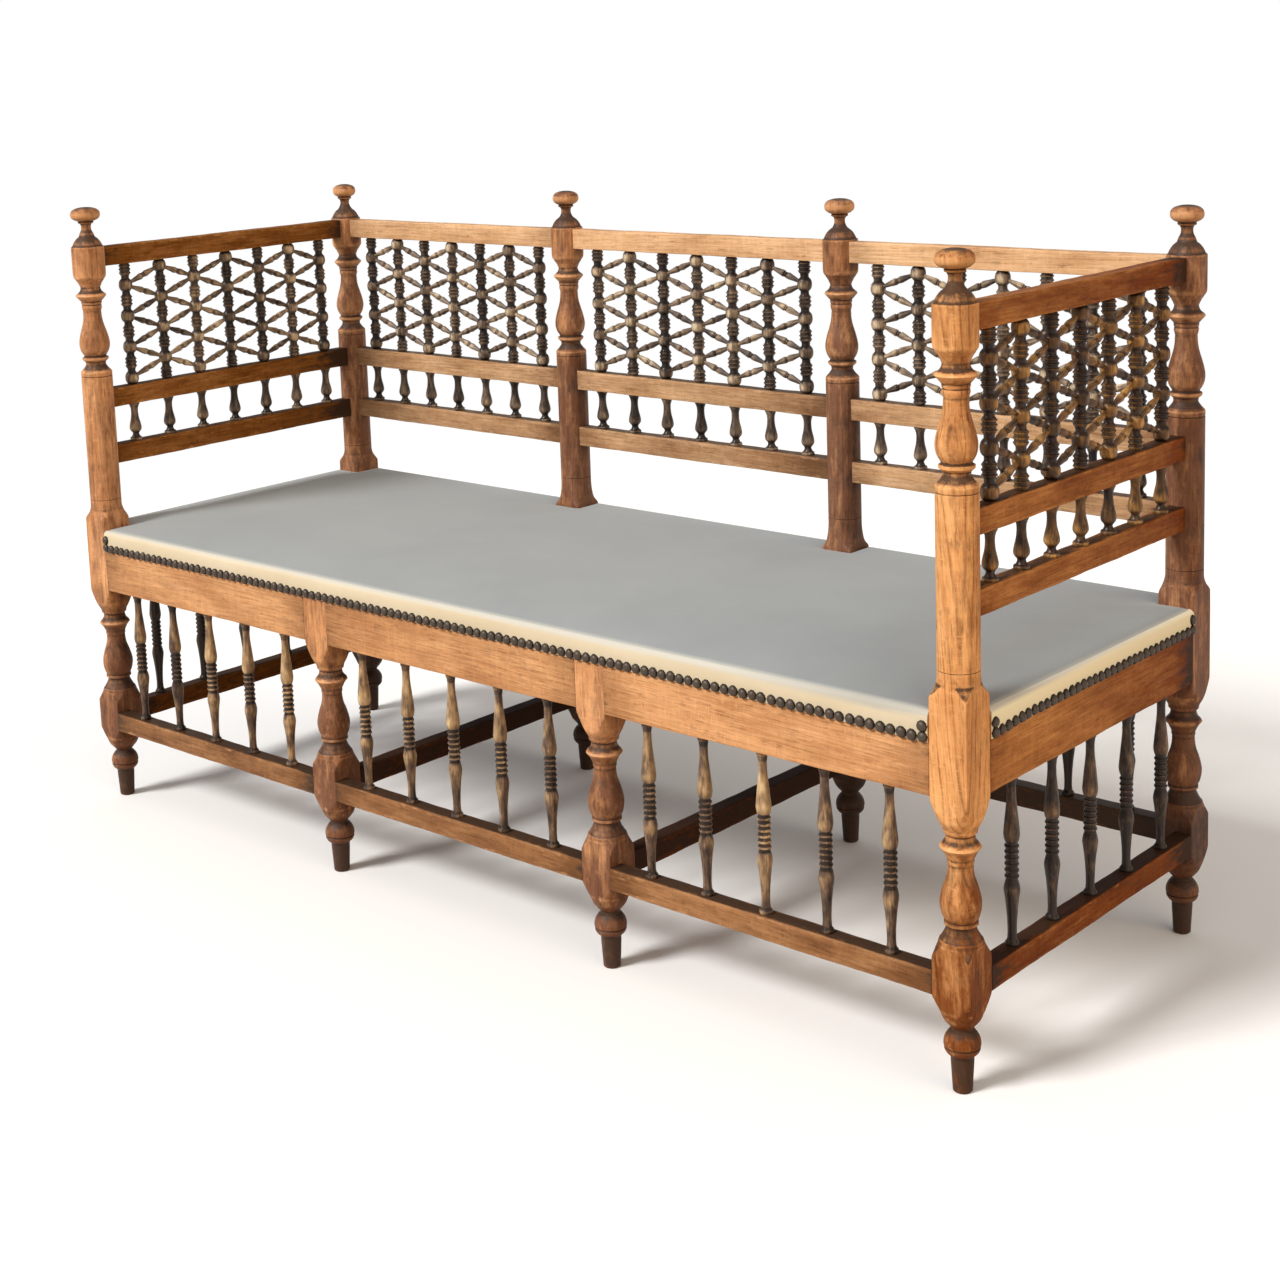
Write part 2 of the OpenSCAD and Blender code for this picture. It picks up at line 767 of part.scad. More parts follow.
// Outward bulge of the side at the share u of its height
function bulge(u) = pad_bulge * sin(180 * u);

// Stuffing on the boards, with a crown and sides drawn in at the nails and at the seam
module seat_padding() {
    levels = 4;
    color(stuffing)
        polyhedron(points = [for (k = [0:levels]) for (x = [0:pad_nx - 1]) for (y = [0:pad_ny - 1])
            let (px = pad_xs[x], py = pad_ys[y], u = k / levels)
                [px, py, seat_top + (pad_top(px, py) - seat_top) * u] + bulge(u) * pad_out(x, y)],
            faces = pad_faces(levels));
}

// Top cloth laid over the padding, its edge over the top of the border
module seat_cover() {
    color(cloth_top)
        polyhedron(points = [for (k = [0:1]) for (x = [0:pad_nx - 1]) for (y = [0:pad_ny - 1])
            let (px = pad_xs[x], py = pad_ys[y])
                [px, py, pad_top(px, py) + cloth_gap + k * cloth_t]
                    + (cloth_gap + cloth_t) * pad_out(x, y)],
            faces = pad_faces(1));
}

// Border strip, drawn along X with its outer side towards -Y, from the hem to the seam
module border_strip(run) {
    top = pad_edge_h - pad_edge_r - 0.1;
    inner = concat([[-cloth_gap, -hem_drop], [-cloth_gap, 0]],
        [for (u = [0.25:0.25:1]) [-cloth_gap - bulge(u), top * u]]);
    outline = concat(inner, [for (i = [len(inner) - 1:-1:0]) inner[i] - [cloth_t, 0]]);
    translate([-run / 2, 0, 0])
        rotate([90, 0, 90])
            linear_extrude(run)
                translate([-half_stock, seat_top])
                    polygon(outline);
}

module seat_border() {
    color(cloth_side)
        difference() {
            union() {
                translate([0, -half_d, 0])
                    border_strip(length - notch);
                left_side() border_strip(bay_d - notch);
                right_side() border_strip(bay_d - notch);
                all_back() border_strip(bay_w - notch);
            }
            all_nail_holes();
        }
}

// Nails

// Nail with a domed head and its shank along +Y
module nail() {
    r = nail_d / 2;
    rotate([90, 0, 0])
        turned([[0, -nail_shank_l], [nail_shank_r / 2, -nail_shank_l], [nail_shank_r, -nail_shank_l + 2],
            [nail_shank_r, 0], [r, 0], [r * 0.9, nail_h * 0.44], [r * 0.64, nail_h * 0.8],
            [r * 0.3, nail_h], [0, nail_h]]);
}

// Hole for a nail's shank
module nail_hole() {
    rotate([-90, 0, 0])
        translate([0, 0, -1])
            cylinder(r = nail_shank_r + fit_gap, h = nail_shank_l + 1.5);
}

// Children placed along X on a side's border, and once more above each end of the row;
// with near, only those about that place
module nail_places(span, near = undef) {
    run = span - notch - nail_d;
    count = floor(run / nail_gap);
    translate([0, -half_stock - cloth_gap - cloth_t - 0.05, seat_top - nail_drop]) {
        for (i = [0:count])
            if (near == undef || abs((i / count - 0.5) * run - near) < stock)
                translate([(i / count - 0.5) * run, 0, 0])
                    children();
        if (near == undef)
            for (end = [-1, 1])
                translate([end * run / 2, 0, nail_d + 0.2])
                    children();
    }
}

module nail_row(span) {
    color(bronze)
        nail_places(span)
            nail();
}

module front_nails() {
    translate([0, -half_d, 0])
        nail_row(length);
}

module front_nail_holes(near = undef) {
    translate([0, -half_d, 0])
        nail_places(length, near)
            nail_hole();
}

module all_nail_holes() {
    front_nail_holes();
    left_side() nail_places(bay_d) nail_hole();
    right_side() nail_places(bay_d) nail_hole();
    all_back() nail_places(bay_w) nail_hole();
}

post_front_left();
post_front_right();
post_back_left();
post_back_right();
post_back_inner_left();
post_back_inner_right();
leg_front_inner_left();
leg_front_inner_right();
left_side() top_rail(bay_d);  // top_rail_left
right_side() top_rail(bay_d);  // top_rail_right
all_back() top_rail(bay_w);  // top_rails_back
left_side() middle_rail(bay_d);  // middle_rail_left
right_side() middle_rail(bay_d);  // middle_rail_right
all_back() middle_rail(bay_w);  // middle_rails_back
left_side() lower_rail(bay_d);  // lower_rail_left
right_side() lower_rail(bay_d);  // lower_rail_right
all_back() lower_rail(bay_w);  // lower_rails_back
nailed_seat_rails_front();  // seat_rails_front
nailed_seat_rails_back();  // seat_rails_back
left_side() nailed_side_rail();  // seat_rail_left
right_side() nailed_side_rail();  // seat_rail_right
cross_place(-1) seat_bearer();  // seat_bearer_left
cross_place(1) seat_bearer();  // seat_bearer_right
seat_boards();
all_front() stretcher(bay_w);  // stretchers_front
all_back() stretcher(bay_w);  // stretchers_back
left_side() stretcher(bay_d);  // stretcher_left
right_side() stretcher(bay_d);  // stretcher_right
cross_place(-1) cross_stretcher();  // cross_stretcher_left
cross_place(1) cross_stretcher();  // cross_stretcher_right
left_side() beads();  // beads_left
right_side() beads();  // beads_right
back_bay(0) beads();  // beads_back_left
back_bay(1) beads();  // beads_back_centre
back_bay(2) beads();  // beads_back_right
left_side() sticks();  // sticks_left
right_side() sticks();  // sticks_right
back_bay(0) sticks();  // sticks_back_left
back_bay(1) sticks();  // sticks_back_centre
back_bay(2) sticks();  // sticks_back_right
left_side() balusters();  // balusters_left
right_side() balusters();  // balusters_right
back_bay(0) balusters();  // balusters_back_left
back_bay(1) balusters();  // balusters_back_centre
back_bay(2) balusters();  // balusters_back_right
front_bay(0) spindles();  // spindles_front_left
front_bay(1) spindles();  // spindles_front_centre
front_bay(2) spindles();  // spindles_front_right
back_bay(0) spindles();  // spindles_back_left
back_bay(1) spindles();  // spindles_back_centre
back_bay(2) spindles();  // spindles_back_right
left_side() spindles();  // spindles_left
right_side() spindles();  // spindles_right
seat_padding();
seat_cover();
seat_border();
front_nails();  // seat_nails_front
all_back() nail_row(bay_w);  // seat_nails_back
left_side() nail_row(bay_d);  // seat_nails_left
right_side() nail_row(bay_d);  // seat_nails_right
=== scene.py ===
import math

import bpy
import numpy as np
from mathutils import Matrix, Vector


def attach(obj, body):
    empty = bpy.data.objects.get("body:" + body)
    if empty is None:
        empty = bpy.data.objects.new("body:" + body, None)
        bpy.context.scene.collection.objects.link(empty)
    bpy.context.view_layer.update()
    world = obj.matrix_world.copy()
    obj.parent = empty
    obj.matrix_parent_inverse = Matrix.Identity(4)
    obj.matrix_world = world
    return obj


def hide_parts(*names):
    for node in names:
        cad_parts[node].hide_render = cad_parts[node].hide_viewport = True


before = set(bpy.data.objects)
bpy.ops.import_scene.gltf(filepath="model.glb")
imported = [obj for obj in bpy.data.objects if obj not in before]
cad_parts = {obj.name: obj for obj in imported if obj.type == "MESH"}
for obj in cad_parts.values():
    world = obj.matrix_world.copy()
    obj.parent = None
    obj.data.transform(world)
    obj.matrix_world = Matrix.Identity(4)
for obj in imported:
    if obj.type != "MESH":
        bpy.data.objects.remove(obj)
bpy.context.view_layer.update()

# Spindle bench: turned posts, square rails, bead lattices, short balusters and tall spindles, and
# a thin seat pad in grey cloth with a cream border and a line of dome nails. Shapes are worked out
# in millimetres, first in a piece's own frame, and become metres when a mesh is made. X runs along
# the bench, Y from the front to the back, Z up.

MM = 0.001

# Bays, height and the posts' square stock, in millimetres
BAY_W, BAY_D, BENCH_H = 541.7, 545.6, 975.0
STOCK, CAP_FLAT = 50.0, 47.0
HALF_L, HALF_D, HALF_STOCK = 1.5 * BAY_W, BAY_D / 2, STOCK / 2

# Radii of the posts' turnings; the last one clears the corners of the stock
COLUMN_R, VASE_R, DISC_R, WAIST_R, CAP_R = 24.6, 24.3, 24.0, 14.5, 26.0
KNOB_R, KNOB_NECK_R, FOOT_BALL_R, FOOT_R = 23.5, 7.7, 21.6, 11.5
CORNER_R = STOCK / math.sqrt(2) + 0.6

# Undersides, heights and thicknesses of the rails
TOP_RAIL_Z, MIDDLE_RAIL_Z, LOWER_RAIL_Z = 882.5, 652.0, 559.0
RAIL_H, RAIL_T = 31.0, 22.0
SEAT_RAIL_Z, SEAT_RAIL_H, SEAT_RAIL_T = 357.0, 90.0, 32.0
STRETCHER_Z, STRETCHER_H, STRETCHER_T = 119.5, 30.0, 24.0
SEAT_TOP = SEAT_RAIL_Z + SEAT_RAIL_H

# Heights between which a post is square, and those of its column and its cap
LOW_BLOCK = (STRETCHER_Z + 1, STRETCHER_Z + STRETCHER_H + 14)
SEAT_BLOCK = (SEAT_RAIL_Z - 1, SEAT_TOP + 25)
COLUMN_Z, COLUMN_TOP = SEAT_BLOCK[1] + 22, TOP_RAIL_Z - 177
CAP_Z = (TOP_RAIL_Z - 15, TOP_RAIL_Z + RAIL_H + 3)

# Lattices between the two upper rails, and tall spindles
LATTICE_N, LATTICE_GAP = 7, 68.5
BEAD_ROWS, BEAD_R = 4, 11.0
PANEL_Z = MIDDLE_RAIL_Z + RAIL_H
PANEL_H = TOP_RAIL_Z - PANEL_Z
BEAD_END = BEAD_R - 0.6
BEAD_PITCH = (PANEL_H - 2 * BEAD_END) / (BEAD_ROWS - 0.5)
SPINDLE_N, SPINDLE_GAP = 5, 92.0

# Seat pad, the half axes of its rounded edge and of its edge at the posts, its notches, and the nails
PAD_EDGE_H, PAD_CROWN, PAD_SLOPE = 9.0, 13.0, 150.0
EDGE_IN, EDGE_DOWN = 10.0, 8.0
POST_IN, POST_DOWN = 7.0, 4.5
CLOTH_T = 1.2
NOTCH, NOTCH_HALF = STOCK + 0.5, HALF_STOCK + 0.5
NAIL_R, NAIL_GAP, NAIL_Z = 6.25, 14.1, SEAT_TOP - 20

# Places of the bays: quarter turns about the z axis, then the middle of the bay's post line
PARTS = ("left", "centre", "right")
PLACES = {f"front_{part}": (0, (x, -HALF_D)) for part, x in zip(PARTS, (-BAY_W, 0, BAY_W))}
PLACES |= {f"back_{part}": (2, (x, HALF_D)) for part, x in zip(PARTS, (-BAY_W, 0, BAY_W))}
PLACES |= {"left": (3, (-HALF_L, 0)), "right": (1, (HALF_L, 0))}
FRONT = (0, (0, -HALF_D))


# Meshes

def joined(*parts):
    """The parts, spread to one shape, side by side along a new last axis."""
    return np.stack(np.broadcast_arrays(*parts), axis=-1)


def placed(points, place):
    """Points turned about the z axis by quarter turns, then moved in the plan."""
    quarter, (dx, dy) = place
    c, s = ((1, 0), (0, 1), (-1, 0), (0, -1))[quarter]
    x, y, z = np.moveaxis(points, -1, 0)
    return joined(c * x - s * y + dx, s * x + c * y + dy, z)


def field_of(points, place, pattern, *values):
    """Channels of a field: the points moved to their place, their places in the pattern, and values of
    the points, each spread to all of them."""
    spread = [np.broadcast_to(value, points.shape[:-1])[..., None] for value in values]
    return np.concatenate((placed(points, place), np.broadcast_to(pattern, points.shape), *spread), axis=-1)


def new_object(name, data):
    """An object of that data, put into the scene."""
    thing = bpy.data.objects.new(name, data)
    bpy.context.scene.collection.objects.link(thing)
    return thing


def add_piece(name, nodes, material, points, quads, tris, attributes, sharp):
    """One piece from whole arrays: points in millimetres, faces as rows of indices, and values of the
    points."""
    mesh = bpy.data.meshes.new(name)
    loops = np.concatenate((quads.ravel(), tris.ravel()))
    starts = np.concatenate((4 * np.arange(len(quads)), 4 * len(quads) + 3 * np.arange(len(tris))))
    mesh.vertices.add(len(points))
    mesh.vertices.foreach_set("co", (points * MM).astype(np.float32).ravel())
    mesh.loops.add(len(loops))
    mesh.loops.foreach_set("vertex_index", loops.astype(np.int32))
    mesh.polygons.add(len(starts))
    mesh.polygons.foreach_set("loop_start", starts.astype(np.int32))
    mesh.update(calc_edges=True)
    mesh.shade_smooth()
    mesh.set_sharp_from_angle(angle=math.radians(sharp))
    for key, values in attributes.items():
        kind, field = ("FLOAT_VECTOR", "vector") if values.ndim == 2 else ("FLOAT", "value")
        mesh.attributes.new(key, kind, "POINT").data.foreach_set(field, values.astype(np.float32).ravel())
    mesh.materials.append(material)
    piece = new_object(name, mesh)
    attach(piece, "root")
    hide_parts(*nodes)
    return piece


def tubes(fields):
    """Points and faces of closed tubes from fields of copies x rings x columns x channels. Each ring
    joins the next, and each end closes at the mean of its ring."""
    points, quads, tris, start = [], [], [], 0
    for field in fields:
        copies, rings, columns, channels = field.shape
        ends = np.stack((field[:, 0].mean(axis=1), field[:, -1].mean(axis=1)), axis=1)
        whole = np.concatenate((field.reshape(copies, -1, channels), ends), axis=1)
        points.append(whole.reshape(-1, channels))
        i, j = columns * np.arange(rings - 1)[:, None], np.arange(columns)
        k, last, end = (j + 1) % columns, (rings - 1) * columns, rings * columns
        sides = joined(i + j, i + k, i + columns + k, i + columns + j).reshape(-1, 4)
        caps = np.concatenate((joined(end, k, j), joined(end + 1, last + j, last + k)))
        shift = start + (np.arange(copies) * (rings * columns + 2))[:, None, None]
        quads.append((sides + shift).reshape(-1, 4))
        tris.append((caps + shift).reshape(-1, 3))
        start += len(points[-1])
    return np.concatenate(points), np.concatenate(quads), np.concatenate(tris)


def add_tubes(name, nodes, material, fields, sharp=38):
    """A piece of closed tubes whose channels are place (3), grain place (3), exposure and tone."""
    p, quads, tris = tubes(fields)
    add_piece(name, nodes, material, p[:, :3], quads, tris,
              {"grain": p[:, 3:6], "exposure": p[:, 6], "tone": p[:, 7]}, sharp)


def ring_angles(columns):
    """Angles of evenly spaced columns round a ring."""
    return 2 * math.pi * np.arange(columns) / columns


def bell(distance, reach):
    """A hump of one at no distance that falls off with the square: exp(-(distance / reach) ** 2)."""
    return np.exp(-(distance / reach) ** 2)


# Profiles, as rows of radius and height

def smooth(points, steps=4):
    """Smooth curve through the points: each stretch is the cubic whose end slopes are half the step
    between the neighbours."""
    p = np.array([points[0], *points, points[-1]], float)
    a, b, c, d = p[:-3, None], p[1:-2, None], p[2:-1, None], p[3:, None]
    t = (np.arange(steps) / steps)[None, :, None]
    curve = 0.5 * (2 * b + (c - a) * t + (2 * a - 5 * b + 4 * c - d) * t ** 2
                   + (3 * b - a - 3 * c + d) * t ** 3)
    return np.vstack((curve.reshape(-1, 2), p[-1]))


def refined(profile, step):
    """The profile with each stretch cut into equal parts no longer than step."""
    run = np.linalg.norm(np.diff(profile, axis=0), axis=1)
    parts = np.maximum(1, np.ceil(run / step)).astype(int)
    start = np.repeat(np.arange(len(run)), parts)
    share = (np.arange(parts.sum()) - np.repeat(np.cumsum(parts) - parts, parts)) / np.repeat(parts, parts)
    return np.vstack((profile[start] + (profile[start + 1] - profile[start]) * share[:, None], profile[-1]))


EVEN_EXPOSURE = 0.62        # of a straight stretch, neither rubbed nor dirty
LEVEL_STEP = 0.5            # spacing of the line on which a profile's mean radius is taken


def profile_exposure(profile, terms, dust):
    """How open each point of a profile lies. Each term compares the radius with its mean over a reach
    and divides by a height: over the mean it is rubbed, under it the wood stays darker, in the oak
    with dirt and painted shade in the recesses, in the beech with its stain. Slopes that face up hold
    dust."""
    r, z = profile.T
    line = np.arange(z.min() - 30, z.max() + 30, LEVEL_STEP)
    level = np.interp(line, z, r)
    slope = np.gradient(r) / np.maximum(np.hypot(np.gradient(r), np.gradient(z)), 1e-6)
    exposure = EVEN_EXPOSURE - dust * np.clip(-slope - 0.2, 0, 1)
    for reach, height, lowest, highest in terms:
        span = np.arange(-3 * reach, 3 * reach + LEVEL_STEP / 2, LEVEL_STEP)
        weight = np.exp(-0.5 * (span / reach) ** 2)
        mean = np.convolve(np.pad(level, len(span) // 2, mode="edge"), weight / weight.sum(), mode="valid")
        exposure = exposure + np.clip((r - np.interp(z, line, mean[:len(line)])) / height, lowest, highest)
    return exposure


def grimed_and_shaded(exposure, tone):
    """The exposure, less one and a half times what the tone is over one: there the dirt colour takes
    over, grime and, on the parts under the seat, painted shadow.
    """
    return exposure - 1.5 * np.clip(tone - 1, 0, 1)


def foot_profile():
    """From the floor up: a slim foot, a flattened ball on a ring, and a flare to the low block."""
    return np.vstack((
        [[FOOT_R - 1.5, 0], [FOOT_R, 1.5], [FOOT_R + 2, 37], [FOOT_R + 2.2, 43]],
        smooth([[14.6, 45], [18.6, 48.4], [20.7, 52.2], [21, 54.4]]),
        [[19.9, 55.6], [21.2, 56.8]],
        smooth([[FOOT_BALL_R, 58], [21.3, 63], [19.4, 68.5], [15.6, 74]]),
        [[13, 76], [13, 79]],
        smooth([[16.4, 83], [22, 90], [26.8, LOW_BLOCK[0] - 19], [CORNER_R, LOW_BLOCK[0]]])))


def low_vase_profile(a, b):
    """Between the blocks, from height a to b: a cove and a ring, a vase with a long neck, a fillet, a
    disc and a flare."""
    return np.vstack((
        smooth([[CORNER_R, a], [28.2, a + 14], [25.4, a + 22]]),
        [[24.2, a + 23]],
        smooth([[20, a + 30], [17.2, a + 37], [18.2, a + 40]]),
        [[19.8, a + 41], [19.8, a + 44]],
        smooth([[18.8, a + 45], [VASE_R - 2, a + 53], [VASE_R, a + 67], [VASE_R - 3.6, a + 84],
                [WAIST_R + 1.8, a + 97], [WAIST_R, b - 81]]),
        [[WAIST_R + 1, b - 78], [WAIST_R + 1, b - 74]],
        smooth([[16.4, b - 72], [DISC_R - 4, b - 65], [DISC_R, b - 60]]),
        smooth([[DISC_R - 1.2, b - 57.5], [18.2, b - 52], [16.5, b - 45]]),
        [[19.5, b - 42], [20.4, b - 37]],
        smooth([[21, b - 36], [25.4, b - 28], [29.8, b - 17], [CORNER_R, b]])))


def column_profile(a, b):
    """From the seat block's top a up to b: a shoulder, then a straight column with a scribed groove."""
    return np.vstack((
        smooth([[CORNER_R, a], [28.6, a + 9], [25.6, (a + COLUMN_Z) / 2 + 5], [COLUMN_R, COLUMN_Z]]),
        [[COLUMN_R, COLUMN_Z + 9.3], [COLUMN_R - 0.8, COLUMN_Z + 10], [COLUMN_R, COLUMN_Z + 10.7],
         [COLUMN_R, b]]))


def high_vase_profile(b):
    """From the column's top b up: an edge, a cove and a ring, a vase with a long neck, two fillets and
    a disc."""
    return np.vstack((
        [[COLUMN_R - 1, 0.6], [COLUMN_R, 2], [COLUMN_R, 8], [COLUMN_R - 1.4, 9.6]],
        smooth([[20, 13], [16, 19], [16.2, 24]]),
        [[20.6, 28], [20.8, 31], [17.4, 33]],
        smooth([[18, 35], [VASE_R - 1.8, 43], [VASE_R, 54], [VASE_R - 2.4, 68],
                [WAIST_R + 1.4, 89], [WAIST_R - 0.4, 106]]),
        [[WAIST_R + 1.2, 112], [WAIST_R + 1.2, 115], [WAIST_R + 0.5, 116], [WAIST_R + 1.6, 119],
         [WAIST_R + 1.6, 122]],
        smooth([[17, 123], [DISC_R - 3.4, 127], [DISC_R, 131]]),
        smooth([[DISC_R - 1, 133.4], [17.6, 138], [15.4, 144]]))) + [0, b]


def cap_profile(a, b):
    """A flare below height a, the cap from a to b, and a hollow that narrows to the knob's neck."""
    return np.vstack((
        smooth([[15.6, a - 17], [18.8, a - 10], [21.6, a - 6]]),
        smooth([[22.2, a - 4.6], [CAP_R - 0.8, a], [CAP_R, a + 7]]),
        [[CAP_R, b - 1.5], [CAP_R - 0.8, b - 0.4], [CAP_R - 2.4, b], [CAP_R - 2.4, b + 0.9]],
        smooth([[CAP_R - 2.8, b + 1.3], [CAP_R - 5, b + 6], [17.4, b + 11], [12.6, b + 15]])))


def knob_profile(h, share):
    """A bun on a neck with a thin collar under it; share is the bun's width against the widest one's."""
    return np.vstack((
        smooth([[10.8, -42], [KNOB_NECK_R + 0.6, -37], [KNOB_NECK_R, -31], [KNOB_NECK_R + 1.4, -27]]),
        [[11.6, -25.8], [12.6, -24.4], [11.8, -23.2]],
        smooth([[13.4, -22.2], [18.2, -20.2], [22.2, -16.8], [KNOB_R, -12.4], [22.4, -7.4], [18, -3.2],
                [10, -0.8], [1.5, 0]]) * [share, 1])) + [0, h]


# Posts and legs

def softer_min(a, b, round_over):
    """The smaller of a and b, rounded over where they meet."""
    h = np.clip(round_over - np.abs(a - b), 0, None) / round_over
    return np.minimum(a, b) - h * h * round_over / 4


def square_radius(angle, half, power=40):
    """Distance from the axis to a square of that half width. The high power leaves its corners a
    little rounded."""
    return half / (np.abs(np.cos(angle)) ** power + np.abs(np.sin(angle)) ** power) ** (1 / power)


def flats(angle, count, radius, seed):
    """Distance from the axis to a ring of hand-cut flats of unequal width: the least of each flat's
    distance over the cosine of the angle from its middle."""
    r = np.random.default_rng(seed)
    middle = 2 * math.pi * (np.arange(count) + r.uniform(-0.22, 0.22, count)) / count
    away = np.cos(angle[..., None] - middle)
    distance = radius * r.uniform(0.975, 1.0, count) / np.maximum(away, 0.3)
    return np.min(np.where(away > 0.3, distance, math.inf), axis=-1)


# Heights between which a post's tones blend, and how much dust lies on its slopes at some heights
TONE_HEIGHTS = (20, 60, 142, 250, 365, 480, 500, 690, 725, 780, 850, 905, 935, 960)
DUST_HEIGHTS, DUST = (0, 162, 172, 200, 912, 918, 1000), (0.3, 0.3, 0.6, 0.2, 0.2, 0.85, 0.85)
NO_SQUARE = 60.0            # a half width that no turning reaches
# Stretches with hand-cut flats: height from and to, how many flats, and their distance against the turning's
FLAT_ZONES = ((COLUMN_TOP + 33, COLUMN_TOP + 100, 9, 0.985),
              (LOW_BLOCK[1] + 45, SEAT_BLOCK[0] - 84, 9, 0.985), (BENCH_H - 24, math.inf, 13, 0.995))


def post_field(profile, where, tones, seed, run_out, corner_shade, columns=80):
    """Rings of a post: the smaller of the turned radius and the square stock's radius at each angle,
    with hand-cut flats on the cap, the vases and the knob. Tones are those of the foot, the low
    block, the low vase, the seat block, the column, the high vase, the cap and the knob; past a
    tone of one the dirt colour takes over, grime and, under the seat, painted shadow."""
    r = np.random.default_rng(seed)
    profile = refined(profile, 3.0)
    turn = ring_angles(columns)
    # Columns lie closer at the four corners
    angle = (turn + 0.5 / 4 * np.sin(4 * turn))[None, :]
    radius, z = profile[:, :1], profile[:, 1:]
    capped = np.column_stack((np.minimum(profile[:, 0], 27), profile[:, 1]))
    exposure = profile_exposure(capped, ((6, 8, -0.14, 0.25), (1.6, 1.5, -0.5, 0.12)),
                                np.interp(z[:, 0], DUST_HEIGHTS, DUST))[:, None]
    # Painted shade: each post's side towards +X, away from the key light, gets a higher tone and turns darker
    tone = np.interp(z, TONE_HEIGHTS, np.repeat(tones, (2, 1, 1, 2, 2, 2, 2, 2)))
    tone = tone + 0.12 * np.clip(np.cos(angle), 0, 1)
    half = np.where(z < CAP_Z[0] - 26, HALF_STOCK, np.where(z < CAP_Z[1] + 14, CAP_FLAT / 2, NO_SQUARE))
    square = square_radius(angle, 1.0) * half
    out = softer_min(radius, square, 0.9 + 2.2 * bell(z - SEAT_BLOCK[1], 22))
    at_cap = (z > CAP_Z[0] - 8) & (z < CAP_Z[1] - 0.2)
    out = np.where(at_cap, softer_min(out, flats(angle, 11, CAP_R - 0.3, seed), 0.3), out)
    for lowest, highest, count, depth in FLAT_ZONES:
        cut = flats(angle, count, 1.0, seed + count) * radius * depth
        out = np.where((z > lowest) & (z < highest), softer_min(out, cut, 0.8), out)
    local = joined(out * np.cos(angle), out * np.sin(angle), z)
    # Rings of the wood about a pith that lies beside the post and leans a little from its axis
    side, lean = r.uniform(0, 2 * math.pi), r.uniform(-0.035, 0.035, 2) + [run_out, 0]
    pith = np.array([math.cos(side), math.sin(side)]) * r.uniform(38, 70)
    grain = joined(local[..., 0] + pith[0] + lean[0] * (z - 400),
                   local[..., 1] + pith[1] + lean[1] * (z - 400), z + r.uniform(0, 3000)) * MM
    # Painted shade: a pointed dark patch on each arris where the turning cuts the corners above a block
    rising = np.gradient(profile[:, 0]) / np.maximum(np.gradient(profile[:, 1]), 1e-6)
    cut = np.clip((square - radius - 0.4) / 1.2, 0, 1)
    exposure = exposure - corner_shade * cut * ((radius > 25.4) & (rising[:, None] < -0.2))
    # Darker at the ends of the rails, dirt and painted shade where they meet the post, and dark feet
    for height in (STRETCHER_Z + STRETCHER_H, LOWER_RAIL_Z, MIDDLE_RAIL_Z, TOP_RAIL_Z + RAIL_H):
        exposure = exposure - 0.1 * bell(z - height, 10)
    exposure = grimed_and_shaded(exposure, tone) - 0.3 * np.clip((64 - z) / 30, 0, 1)
    return field_of(local, (0, where), grain, exposure, tone)[None]


# Square-sawn rails

def bar_section(height, thickness, corner, step=6.0):
    """Outline of a bar's section with rounded corners: across and up, anticlockwise."""
    quarter = np.radians([0, 30, 60, 90])[None, :] + np.radians([0, 90, 180, 270])[:, None]
    middle = np.array([[1, 1], [-1, 1], [-1, -1], [1, -1]]) * (np.array([thickness, height]) / 2 - corner)
    points = (middle[:, None] + corner * joined(np.cos(quarter), np.sin(quarter))).reshape(-1, 2)
    return refined(np.vstack((points, points[:1])), step)[:-1]


def bar_field(span, z, height, thickness, across, place, tones, top, side, seed, corner=1.2):
    """Rings of a bar along X from end to end: the section at each place along it, its sides waved
    by up to 0.3 mm as a hand plane leaves them. Tones are those of its two ends; past a tone of one
    the dirt colour takes over, grime and, on the bars under the seat, painted shadow."""
    r = np.random.default_rng(seed)
    across_x, up_z = bar_section(height, thickness, corner).T
    x = np.linspace(-span / 2, span / 2, max(3, int(span / 9)))[:, None]
    from_end = span / 2 - np.abs(x)
    wave = 0.2 * np.sin(x * r.uniform(0.02, 0.05) + r.uniform(0, 6))
    wave = wave + 0.1 * np.sin(x * 0.13 + r.uniform(0, 6))
    y = across_x * (1 + wave / (thickness / 2)) + across
    up = up_z * (1 + wave / (height / 2)) + z + height / 2
    lean = r.uniform(-0.02, 0.02, 2)
    pith = np.array([r.uniform(-40, 40), r.choice((-1, 1)) * r.uniform(30, 80)])
    grain = joined(y - across + pith[0] + lean[0] * x, up - z + pith[1] + lean[1] * x,
                   x + r.uniform(0, 3000)) * MM
    # The top takes its own exposure, low on the middle and lower rails and the stretchers; on the
    # stretchers, under the seat, that is dust and painted shade. The rounded corners are rubbed, and the
    # ends by the posts are darker: dirt and painted shade
    flat_top = np.clip((up_z - (height / 2 - corner)) / corner, 0, 1)
    edge = (np.abs(np.abs(across_x) - thickness / 2) < corner) & (np.abs(np.abs(up_z) - height / 2) < corner)
    exposure = side + (top - side) * flat_top + 0.16 * edge - 0.12 * bell(from_end, 7)
    tone = np.interp(x, (-span / 2, span / 2), tones)
    tone = tone + 0.3 * bell(from_end, 40) * (tone > 0.05)
    return field_of(joined(x, y, up), place, grain, grimed_and_shaded(exposure, tone), tone)[None]


# Small turnings

